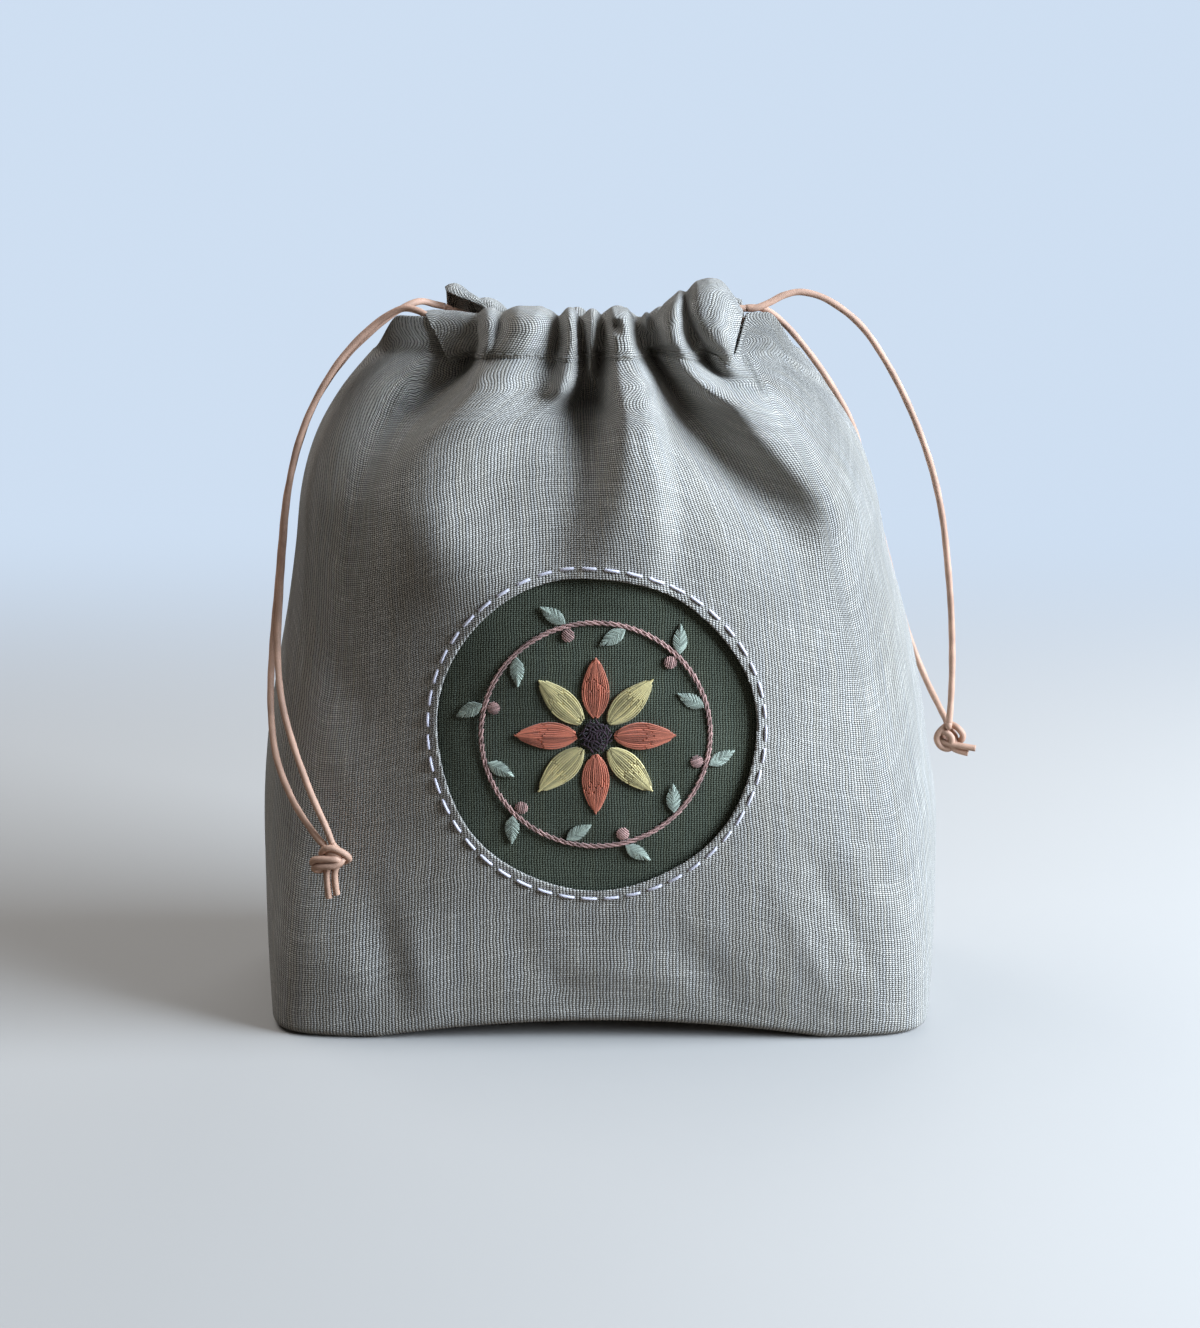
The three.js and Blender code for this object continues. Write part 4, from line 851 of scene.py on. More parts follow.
def woven(name, thread, gap, across, up, slub=1.0, contrast=1.0, sheen=0.25):
    """Plain weave on the cloth's own map: threads cross over and under, each with its own tone; gap
    is the painted shade between them.
    """
    material, nodes, shader = new_material(name)
    at = nodes.put("ShaderNodeUVMap", uv_map="cloth").outputs[0]
    split = nodes.put("ShaderNodeSeparateXYZ", {0: at})
    u, v = split.outputs[0], split.outputs[1]

    def noise(scale_u, scale_v, detail, seed, at_u=u, at_v=v):
        place = nodes.put("ShaderNodeCombineXYZ", {
            "X": nodes.times(at_u, scale_u), "Y": nodes.times(at_v, scale_v), "Z": seed})
        return nodes.put("ShaderNodeTexNoise", {
            "Vector": place, "Scale": 1.0, "Detail": detail, "Roughness": 0.55}).outputs[0]

    def rounded(place):
        return nodes.math("ABSOLUTE", nodes.math("SINE", nodes.times(place, math.pi)))

    def height_of(own, side, other):
        return nodes.times(nodes.math("POWER", own, 0.6), nodes.times_plus(side, other, 0.5))

    def on_top(of_warp, of_weft):
        return nodes.plus(nodes.times(over, of_warp),
                          nodes.times(nodes.minus(1.0, over), of_weft))

    def around(share, value):
        return 1.0 - share * value, 1.0 + share * value

    sway_u = nodes.times(nodes.minus(noise(70, 170, 1.0, 3.1), 0.5), 1.1)
    sway_v = nodes.times(nodes.minus(noise(170, 70, 1.0, 8.7), 0.5), 1.1)
    warp = nodes.plus(nodes.math("DIVIDE", u, across), sway_u)
    weft = nodes.plus(nodes.math("DIVIDE", v, up), sway_v)
    warp_row, weft_row = nodes.math("FLOOR", warp), nodes.math("FLOOR", weft)
    over = nodes.math("FLOORED_MODULO", nodes.plus(warp_row, weft_row), 2.0)
    warp_round, weft_round = rounded(warp), rounded(weft)
    side_up = nodes.times_plus(over, 1.0, -0.5)
    height = nodes.math("MAXIMUM", height_of(warp_round, side_up, weft_round),
                        height_of(weft_round, nodes.times(side_up, -1.0), warp_round))
    warp_tone = noise(1.37, 34, 2.0, 1.0, at_u=warp_row)
    weft_tone = noise(34, 1.61, 2.0, 5.0, at_v=weft_row)
    warp_slub = nodes.span(noise(0.83, 52, 0.0, 21.0, at_u=warp_row), 0.63, 0.75)
    weft_slub = nodes.span(noise(52, 0.91, 0.0, 33.0, at_v=weft_row), 0.62, 0.74)
    both = nodes.times(nodes.plus(warp_tone, weft_tone), 0.5)
    tone = nodes.plus(nodes.times(on_top(warp_tone, weft_tone), 0.5), nodes.times(both, 0.5))
    thick = on_top(warp_slub, weft_slub)
    light = nodes.span(tone, 0.28, 0.72, *around(0.2, contrast))
    light = nodes.plus(light, nodes.times(thick, 0.1 * slub))
    light = nodes.times(light, nodes.span(noise(26, 30, 3.0, 40.0), 0.3, 0.7, *around(0.09, 1)))
    # Painted shade between the threads: where the weave lies low the colour darkens to gap, the
    # painted shade colour; slubs fill it in
    fill = nodes.plus(nodes.span(height, 0.3, 0.8), nodes.times(thick, 0.25), clamp=True)
    shade = mixed(nodes, fill, rgba(gap), rgba(thread))
    warmth = mixed(nodes, nodes.span(noise(0.9, 21, 1.0, 60.0, at_u=warp_row), 0.35, 0.65),
                   (1.0, 0.985, 0.955, 1.0), (0.985, 1.0, 1.03, 1.0))
    shade = mixed(nodes, 1.0, shade, warmth, "MULTIPLY")
    shade = mixed(nodes, 1.0, shade, nodes.same(light), "MULTIPLY")
    coat(nodes, shader, shade, nodes.plus(height, nodes.times(thick, 0.5)), (1.0, 0.00045), {
        "Roughness": 0.92, "Specular IOR Level": 0.18, "Sheen Weight": sheen,
        "Sheen Roughness": 0.45})
    return material


def thread_material(name, colour, spread=0.42, roughness=0.62, sheen=0.3):
    """Embroidery and sewing thread: each thread has its own tone, with fine fibres."""
    material, nodes, shader = new_material(name)
    own = nodes.put("ShaderNodeAttribute", attribute_name="shade").outputs["Fac"]
    at = nodes.put("ShaderNodeTexCoord").outputs["Object"]
    fine, broad = nodes.noise(at, 5200.0, 2.0), nodes.noise(at, 420.0, 1.0)
    light = nodes.plus(nodes.span(own, -1.0, 1.0, 1.0 - spread, 1.0 + spread),
                       nodes.span(fine, 0.3, 0.7, -0.14, 0.14))
    light = nodes.plus(light, nodes.span(broad, 0.3, 0.7, -0.08, 0.08))
    shade = mixed(nodes, 1.0, rgba(colour), nodes.same(light), "MULTIPLY")
    coat(nodes, shader, shade, fine, (0.6, 0.0001), {
        "Roughness": roughness, "Specular IOR Level": 0.3, "Sheen Weight": sheen})
    return material


def leather_material(name, colour, core):
    """Round leather lace: fine grain, darker worn spots, and its core where it was cut."""
    material, nodes, shader = new_material(name)
    at = nodes.put("ShaderNodeTexCoord").outputs["Object"]
    grain = nodes.put("ShaderNodeTexVoronoi", {"Vector": at, "Scale": 3400.0}).outputs["Distance"]
    fine, worn = nodes.noise(at, 2600.0, 3.0), nodes.noise(at, 150.0, 2.0)
    cut = nodes.put("ShaderNodeAttribute", attribute_name="cut").outputs["Fac"]
    shade = mixed(nodes, nodes.span(worn, 0.32, 0.72), rgba([0.74 * c for c in colour]),
                  rgba([min(1, 1.14 * c) for c in colour]))
    shade = mixed(nodes, nodes.span(fine, 0.35, 0.7, 0.0, 0.3), shade,
                  rgba([0.5 * c for c in colour]))
    relief = nodes.plus(nodes.times(grain, 0.6), nodes.times(fine, 0.7))
    coat(nodes, shader, mixed(nodes, cut, shade, rgba(core)), relief, (0.5, 0.00012), {
        "Roughness": nodes.span(worn, 0.3, 0.7, 0.5, 0.68), "Specular IOR Level": 0.4})
    return material


def finish(name, context):
    """The bag's finishes, each made once and named apart from the solids' own materials."""
    label = name + "_finish"
    if label in bpy.data.materials:
        return bpy.data.materials[label]
    colours = context.scene.bag_colours
    if name == "grey_linen":
        return woven(label, colours.linen, colours.linen_gap, 0.00098, 0.00062)
    if name == "green_linen":
        # Painted shade between the patch's threads: a darker copy of its colour
        gap = [0.3 * c for c in colours.patch]
        return woven(label, colours.patch, gap, 0.0008, 0.00056, slub=0.5, contrast=0.85, sheen=0)
    if name == "lining_cotton":
        # Painted shade between the lining's threads: a darker copy of its colour
        gap = [0.4 * c for c in colours.lining]
        return woven(label, colours.lining, gap, 0.0006, 0.0006, slub=0.1, contrast=0.4)
    if name == "leather_lace":
        return leather_material(label, colours.leather, colours.leather_core)
    if name == "running_thread":
        return thread_material(label, colours.stitch, 0.1, 0.6, 0.4)
    if name == "sewing_thread":
        return thread_material(label, colours.seam, 0.1, 0.8, 0.2)
    return thread_material(label, getattr(colours, name.removesuffix("_thread")))


def bend_with_rim(piece):
    """Bakes the piece's transform into its mesh."""
    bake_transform(piece)


def declare(piece, nodes, body=None):
    """Hides the nodes a piece replaces, and hangs the piece under its body when one is given."""
    if body:
        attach(piece, body)
    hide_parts(*nodes)


def sew_cloth(name, mesh, material, wall):
    """Makes one gathered cloth piece of a half of the bag, with its wall."""
    piece = link(name + "_cloth", mesh, material)
    give_wall(piece, wall)
    declare(piece, [name])
    bend_with_rim(piece)


def casing_line(body, x):
    """Middle line of a casing, as distance from the middle plane."""
    half, centre, depth, square = body.section(body.top)
    return depth * bulge(np.minimum(1, np.abs((x - centre) / half)), square)


# Routes of the casings from end to end: place along, foot across, foot height, top across
FRONT_CASING = [
    [0, -43.8, 195.8, -51], [0.05, -41, 196.6, -47.4], [0.1, -37.6, 197.6, -43],
    [0.15, -33.6, 198.6, -37.4], [0.2, -29, 199.2, -30.4], [0.28, -21.8, 199, -22],
    [0.4, -11.2, 198, -11.2], [0.52, -0.4, 198.4, -0.4], [0.64, 10.4, 198.8, 10.4],
    [0.76, 21.2, 199, 21.2], [0.86, 29.8, 197.4, 30.2], [0.94, 34.8, 195.8, 37],
    [1, 37.4, 195, 41.6],
]
BACK_CASING = [
    [0, -46.4, 198, -46.4], [0.1, -40.4, 197.4, -41.4], [0.25, -30, 197, -31.6],
    [0.5, -6, 197, -6], [0.75, 20, 197, 20], [0.92, 37, 197.6, 36.6], [1, 44, 198, 42.4],
]

# Height of each casing's top without its folds: place across, height
FRONT_CASING_TOP = [
    [-54, 210.6], [-48, 212], [-42, 212.2], [-36, 211.4], [-26, 211], [0, 210.8], [14, 210.4],
    [18, 211.4], [20, 213], [24, 216.2], [28, 218], [32, 218.8], [36, 217.6], [39, 214.8],
    [41, 212], [43, 210.4],
]
BACK_CASING_TOP = [
    [-54, 211], [-50, 213.2], [-45, 215.4], [-39, 215.4], [-35, 212.8], [-29, 209], [0, 208],
    [20, 208.4], [30, 210.6], [37, 213.4], [42, 212.6], [46, 210.4],
]

# How much of a fold's push lifts a casing's top, and the height at which the push is read
TOP_LIFT, TOP_READ = 0.34, 211.0
# How far the inner wall of the back casing's end is shifted to the right, which leaves it open
OPEN_END = 12.0
# By side: node, half of the bag, route, heights, loops along it and shift of its inner end
CASINGS = [("front_casing", FRONT, FRONT_CASING, FRONT_CASING_TOP, 300, 0.0),
           ("back_casing", BACK, BACK_CASING, BACK_CASING_TOP, 200, OPEN_END)]
# Points round each loop of a casing
CASING_LOOP = 54


def casing_grid(body, side, route, tops, stations, end_shift):
    """Loops of a casing, each from its foot in front over the top and down behind."""
    t = np.linspace(0, 1, stations)[:, None]
    foot_x, foot_z, top_x = [smooth_read(route, t, column) for column in (1, 2, 3)]
    push = np.clip(side.push(top_x, TOP_READ), -2, 7)
    top_z = smooth_read(tops, top_x, 1) + TOP_LIFT * push

    def layer(share, outer):
        x = foot_x + (top_x - foot_x) * share ** 1.15
        z = foot_z + (top_z - foot_z) * share
        line = casing_line(body, np.clip(x, -60, 54))
        push = side.push(x, z)
        seam = body.depth_at(side, np.clip(x, -64, 56), foot_z)
        crown = np.cbrt(np.maximum(0, 1 - (np.maximum(0, share - 0.5) / 0.5) ** 3))
        ridge = line + 0.3 * push
        if outer:
            full = line + np.maximum(3.3, 4.8 + 1.1 * push)
            tuck = 0.12 - 0.5 * (1 - smooth(share / 0.05))
        else:
            full = line - 2.8 - 0.2 * np.maximum(push, -2.0)
            tuck = -1.6
            x = x + end_shift * (1 - smooth(t / 0.2)) * smooth((1 - share) / 0.35)
        out = ridge + (full - ridge) * crown
        return x, out + (seam + tuck - out) * (1 - smooth(share / 0.3)), z

    front = CASING_LOOP // 2
    parts = [layer(np.linspace(0, 1, front)[None, :], True),
             layer(np.linspace(1, 0, CASING_LOOP - front + 1)[None, 1:], False)]
    x, out, z = [np.concatenate(pair, 1) for pair in zip(*parts)]
    return np.stack([x, side.facing * out, z], -1)


# Section of the backdrop: reach of the floor to the front and back, radius of the bend, height of
# the wall and half the width, in metres
FLOOR_FRONT, FLOOR_BACK, BEND, WALL_TOP, HALF_WIDTH = -3.0, 1.6, 0.6, 3.0, 4.0
# The paper as the camera sees it, what it throws back on the bag, the distance and the sky
PAPER_SEEN, PAPER_BOUNCE = (0.49, 0.465, 0.44, 1), (0.17, 0.14, 0.11, 1)
DISTANCE, SKY = (0.62, 0.735, 0.885, 1), (0.98, 0.97, 0.95, 1)
# Lamps: name, place in metres, size, share of the window's power, colour
LAMPS = [
    ("window", (1.15, -0.33, 0.64), 0.8, 1.0, (0.72, 0.85, 1.0)),
    ("back_fill", (0.5, 1.5, 0.9), 1.0, 0.14, (0.9, 0.95, 1.0)),
    ("top_fill", (-0.6, 0.25, 1.3), 1.0, 0.18, (0.97, 0.985, 1.0)),
]
AIM = Vector((0, 0, 0.12))


class BAG_OT_stage(bpy.types.Operator):
    """Camera, soft lights, pale floor and backdrop"""
    bl_idname = "bag.stage"
    bl_label = "Stage"

    def execute(self, context):
        stage = context.scene.bag_stage
        camera = bpy.data.cameras.new("camera")
        camera.lens, camera.sensor_width = stage.lens, 36.0
        eye = bpy.data.objects.new("camera", camera)
        eye.location = (0, -stage.camera_back, stage.camera_height)
        eye.rotation_euler = (math.pi / 2 - stage.camera_tilt, 0, 0)
        context.scene.collection.objects.link(eye)
        context.scene.camera = eye
        context.scene.view_settings.view_transform = "Standard"

        profile = [(FLOOR_FRONT, 0.0), (FLOOR_BACK, 0.0)]
        profile += [(FLOOR_BACK + BEND * math.sin(a), BEND - BEND * math.cos(a))
                    for a in np.linspace(0, math.pi / 2, 13)[1:]]
        profile += [(FLOOR_BACK + BEND, WALL_TOP)]
        points = np.array([(x, y, z) for y, z in profile for x in (-HALF_WIDTH, HALF_WIDTH)]) / MM
        sweep = link("backdrop", make_mesh("backdrop", points, grid_faces(len(profile), 2)))
        paper, nodes, shader = new_material("pale_paper")
        at = nodes.put("ShaderNodeTexCoord").outputs["Object"]
        split = nodes.put("ShaderNodeSeparateXYZ", {0: at})
        seen = nodes.put("ShaderNodeLightPath").outputs["Is Camera Ray"]
        far = nodes.put("ShaderNodeMapRange", {0: split.outputs[1], 1: 0.1, 2: 0.8},
                        interpolation_type="SMOOTHERSTEP").outputs[0]
        glow = nodes.put("ShaderNodeEmission", {"Color": DISTANCE})
        nodes.feed(shader.inputs["Base Color"], mixed(nodes, seen, PAPER_BOUNCE, PAPER_SEEN))
        shader.inputs["Roughness"].default_value = 0.9
        blend = nodes.put("ShaderNodeMixShader", {0: nodes.times(far, seen), 1: shader, 2: glow})
        nodes.feed(paper.node_tree.nodes["Material Output"].inputs["Surface"], blend)
        sweep.data.materials.append(paper)

        world = bpy.data.worlds.new("sky")
        context.scene.world = world
        world.use_nodes = True
        sky = world.node_tree.nodes["Background"]
        sky.inputs["Color"].default_value = SKY
        sky.inputs["Strength"].default_value = stage.sky_strength

        for name, place, size, share, colour in LAMPS:
            lamp = bpy.data.lights.new(name, "AREA")
            lamp.shape, lamp.size, lamp.color = "SQUARE", size, colour
            lamp.energy = stage.key_power * share
            holder = bpy.data.objects.new(name, lamp)
            holder.location = place
            holder.rotation_euler = (AIM - Vector(place)).to_track_quat("-Z", "Y").to_euler()
            context.scene.collection.objects.link(holder)
        return {"FINISHED"}


# From where the two tails of a knot meet to the middle of the knot
KNOT_HANG = np.array([0.6, -0.3, -4.3])
# Where the tails leave the casings, and where the lead of each meets its run
LEFT_EXIT, RIGHT_EXIT = -46, 42
LEFT_LEAD, RIGHT_LEAD = -44.2, 40.2
# Where the runs end inside a casing, left and right, and how far each lies from its middle line
RUN_ENDS, RUN_APART = (-44.5, 40.5), 1.15
# Height of a run over the wall's top, and how much higher it is where its tails leave
RUN_HEIGHT, RUN_CLIMB = 5.5, 2.6
# A cord's bend past the casings: by point, reach outward and share of the way to the other side
BIGHT = [(-1.5, 0), (0.3, 0), (1.8, 0), (5.2, 0.14), (7.3, 0.36), (7.3, 0.5)]


class BAG_OT_laces(bpy.types.Operator):
    """Leather laces: four free tails, two knots, and the runs through both casings"""
    bl_idname = "bag.laces"
    bl_label = "Leather laces"

    def execute(self, context):
        sizes = context.scene.bag_sizes
        body = Body(sizes)
        leather = finish("leather_lace", context)
        radius = sizes.lace_diameter / MM / 2

        def dress(name, solid, replaced, tips=()):
            """A piece of lace from points, faces and map, with the tips marked that were cut."""
            lace = link(name + "_lace", make_mesh(name, *solid), leather)
            values = np.zeros(len(lace.data.vertices), np.float32)
            values[list(tips)] = 1.0
            cut = lace.data.attributes.new("cut", "FLOAT", "POINT")
            cut.data.foreach_set("value", values)
            if replaced:
                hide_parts(replaced)
            return lace

        def run_point(side, x, cord):
            """A point of a cord's run: it stands higher at the side where its tails leave."""
            share = (x - LEFT_EXIT) / (RIGHT_EXIT - LEFT_EXIT)
            left = cord == "left"
            high, out = (1 - smooth(share), RUN_APART) if left else (smooth(share), -RUN_APART)
            lift = sum(rise * math.exp(-((x - place) / width) ** 2)
                       for place, width, rise in side.lifts)
            z = body.top + RUN_HEIGHT + RUN_CLIMB * high - side.drop + lift
            return np.array([x, side.facing * (casing_line(body, x) + out), float(z)])

        knots = {}
        for cord, strands in [("left", LEFT_KNOT_STRANDS), ("right", RIGHT_KNOT_STRANDS)]:
            name = cord + "_knot"
            routes = [np.array(TAILS[f"{cord}_tail_{side.name}"][-2:]) / MM
                      for side in (FRONT, BACK)]
            middle = (routes[0][1] + routes[1][1]) / 2 + KNOT_HANG
            parts, tips, count = [], [], 0
            for (lead, end), strand in zip(routes, strands):
                way = (end - lead) / np.linalg.norm(end - lead)
                path = np.vstack([end - way * 0.4, end + way * 0.8,
                                  np.array(strand, float) + middle])
                parts.append(tube(smooth_path(path, 0.35), radius, 14, flat_end=0.12))
                count += len(parts[-1][0])
                tips.append(count - 1)
            knots[cord] = dress(name, joined(parts), name, tips)
            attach(knots[cord], cord + "_tails")

        for tail, route in TAILS.items():
            cord = tail.split("_")[0]
            path = smooth_path(np.array(route) / MM, 1.0)
            step = np.arange(len(path))
            uneven = 1 + 0.03 * np.sin(step * 0.7) + 0.02 * np.sin(step * 0.23)
            lace = dress(tail, tube(path, radius * uneven, 16), tail)
            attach(lace, cord + "_tails")

        for cord in ("left", "right"):
            for side in (FRONT, BACK):
                node = f"{cord}_cord_{side.name}_run"
                path = np.array([run_point(side, x, cord) for x in np.linspace(*RUN_ENDS, 60)])
                bend_with_rim(dress(node, tube(path, radius, 10), node))

        # The bend of each cord past the casings' far ends, in halves that meet at the bag's side
        for cord, x, outward in [("left", RIGHT_EXIT, 1), ("right", LEFT_EXIT, -1)]:
            start, end = run_point(FRONT, x, cord), run_point(BACK, x, cord)
            for side, near, far in [(FRONT, start, end), (BACK, end, start)]:
                path = np.array([near + (far - near) * share + (outward * reach, 0, 0)
                                 for reach, share in BIGHT])
                path[-1] = middle = path[-1] * (1, 0, 1)
                bight = dress(f"{cord}_cord_bight_{side.name}",
                              tube(smooth_path(path, 0.6), radius, 10),
                              f"{cord}_cord_bight" if side is FRONT else None)
                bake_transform(bight)

        # Short lengths that join each tail to its run inside the casing's end
        for cord, inner in [("left", LEFT_LEAD), ("right", RIGHT_LEAD)]:
            for side in (FRONT, BACK):
                tail = f"{cord}_tail_{side.name}"
                start, end = np.array(TAILS[tail][0]) / MM, run_point(side, inner, cord)
                path = start + (end - start) * np.linspace(0, 1, 8)[:, None]
                lead = dress(tail + "_lead", tube(path, radius, 10), None)
                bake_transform(lead)
        return {"FINISHED"}


def window_mesh(name, body, grid, uv, stitching):
    """Cuts the window, lifts its edge a little and draws the cloth in at each stitch."""
    away = grid[..., [0, 2]] - body.window
    turn = np.arctan2(away[..., 1], away[..., 0])
    edge = body.window_radius + 0.35 * np.sin(3 * turn + 1) + 0.22 * np.sin(7 * turn)
    ring = np.hypot(away[..., 0], away[..., 1]) - edge
    pucker = 0.5 + 0.5 * np.cos(stitching.window_stitches * turn)
    rise = (0.42 * np.exp(-((ring - 1.0) / 1.4) ** 2)
            - 0.4 * pucker * np.exp(-((ring - 2.6) / 1.1) ** 2))
    # The base lies under the window too, and stays whole
    wall = grid[..., 2] > 20
    grid[..., 1] -= np.where(wall, rise, 0)
    points, uv, faces = cut_round(grid, uv, np.where(wall, ring, 1000.0))
    return make_mesh(name, points, faces, uv)


# Points across each panel, then its rows in the base, the rounding and the wall
FRONT_COUNTS, BACK_COUNTS = (236, 10, 8, 152), (170, 8, 6, 110)


class BAG_OT_panels(bpy.types.Operator):
    """Front and back panels of grey linen, gathered at the neck"""
    bl_idname = "bag.panels"
    bl_label = "Linen panels"

    def execute(self, context):
        body = Body(context.scene.bag_sizes)
        linen = finish("grey_linen", context)
        for side, counts in [(FRONT, FRONT_COUNTS), (BACK, BACK_COUNTS)]:
            name = side.name + "_panel"
            grid = body.half_grid(side, *counts)
            uv = cloth_map(grid)
            if side is FRONT:
                mesh = window_mesh(name, body, grid, uv, context.scene.bag_stitching)
            else:
                # Its own part of the weave, away from the front's
                uv[..., 0] += 400
                mesh = grid_mesh(name, grid, uv, True)
            sew_cloth(name, mesh, linen, body.wall)
        return {"FINISHED"}


class BAG_OT_casings(bpy.types.Operator):
    """Sewn tunnels above the neck, puffed between the gathers"""
    bl_idname = "bag.casings"
    bl_label = "Casings"

    def execute(self, context):
        body = Body(context.scene.bag_sizes)
        linen = finish("grey_linen", context)
        for name, side, route, tops, stations, end_shift in CASINGS:
            grid = casing_grid(body, side, route, tops, stations, end_shift)
            uv = cloth_map(grid.transpose(1, 0, 2), keep=0.7).transpose(1, 0, 2)
            uv[..., 1] += 260
            mesh = grid_mesh(name, grid, uv, side is FRONT)
            sew_cloth(name, mesh, linen, 0.7)
        return {"FINISHED"}


# How far the patch reaches past the window, and the number of points across it
PATCH_MARGIN, PATCH_POINTS = 4.6, 110


class BAG_OT_window(bpy.types.Operator):
    """Green linen patch behind the round window, and the running stitch round it"""
    bl_idname = "bag.window"
    bl_label = "Window patch and stitch"

    def execute(self, context):
        sizes, stitching = context.scene.bag_sizes, context.scene.bag_stitching
        body = Body(sizes)
        reach = body.window_radius + PATCH_MARGIN
        place = np.linspace(-reach - 1, reach + 1, PATCH_POINTS)
        across, up = np.meshgrid(place, place)
        x, z = across + body.window[0], up + body.window[1]
        points, _ = body.on_face(FRONT, x, z, np.full(x.shape, 1.35))
        ripple = (0.22 * np.sin(x / 6.1 + 1.5 * np.sin(z / 14.0)) * np.sin(z / 19.0)
                  + 0.16 * np.sin(z / 5.2 + x / 13.0))
        points[..., 1] += 0.15 - ripple * smooth((reach - 5 - np.hypot(across, up)) / 8)
        points, uv, faces = cut_round(points, np.stack([x, z], -1), reach - np.hypot(across, up))
        patch = link("window_patch_cloth", make_mesh("patch", points, faces, uv),
                     finish("green_linen", context))
        give_wall(patch, 0.6)
        declare(patch, ["window_patch"], "root")

        turn = np.linspace(0, 2 * np.pi, 401)[:-1]
        ring = body.window_radius + stitching.stitch_setback / MM + 0.35 * np.sin(3 * turn + 1)
        x = body.window[0] + ring * np.cos(turn)
        z = body.window[1] + ring * np.sin(turn)
        points, facing = body.on_face(FRONT, x, z, np.full(x.shape, 0.05))
        points[:, 1] -= 0.15
        line = path_mesh("ring", [points], [facing], closed=True)
        stitches = grow("window_running_stitches", line, stitch_row_tree(), {
            "Count": stitching.window_stitches, "Stitch length": stitching.stitch_length,
            "Thread thickness": stitching.stitch_thickness, "Rise": 0.0004,
            "Unevenness": 0.12, "Seed": 4, "Thread": finish("running_thread", context)})
        declare(stitches, ["window_running_stitch"], "root")
        return {"FINISHED"}


# Height of the linings' top edge, and how far they lie inside the linen
LINING_TOP, LINING_INSET = 194.5, 2.4


class BAG_OT_linings(bpy.types.Operator):
    """Front and back linings, just inside the linen"""
    bl_idname = "bag.linings"
    bl_label = "Linings"

    def execute(self, context):
        body = Body(context.scene.bag_sizes)
        cotton = finish("lining_cotton", context)
        for side in (FRONT, BACK):
            name = side.name + "_lining"
            grid = body.half_grid(side, 170, 6, 4, 90, top=LINING_TOP, inset=LINING_INSET)
            mesh = grid_mesh(name, grid, cloth_map(grid), side is BACK)
            sew_cloth(name, mesh, cotton, 0.4)
        return {"FINISHED"}


# Radius of the wreath's ring, and the number of its stitches, leaves and berries
WREATH, STEM_STITCHES, LEAVES, BERRIES = 33, 92, 12, 6
# Radius of the ring of berries, and of one berry
BERRY_RING, BERRY_RADIUS = 30.3, 1.8
# Length and half width of a ray of the star, and how far from the middle it starts
RAY_LENGTH, RAY_WIDTH, RAY_START = 19, 4.0, 4.9
# Length and half width of a leaf
LEAF_LENGTH, LEAF_WIDTH = 8.4, 2.0


def toward(heading):
    return np.array([math.cos(heading), math.sin(heading)])


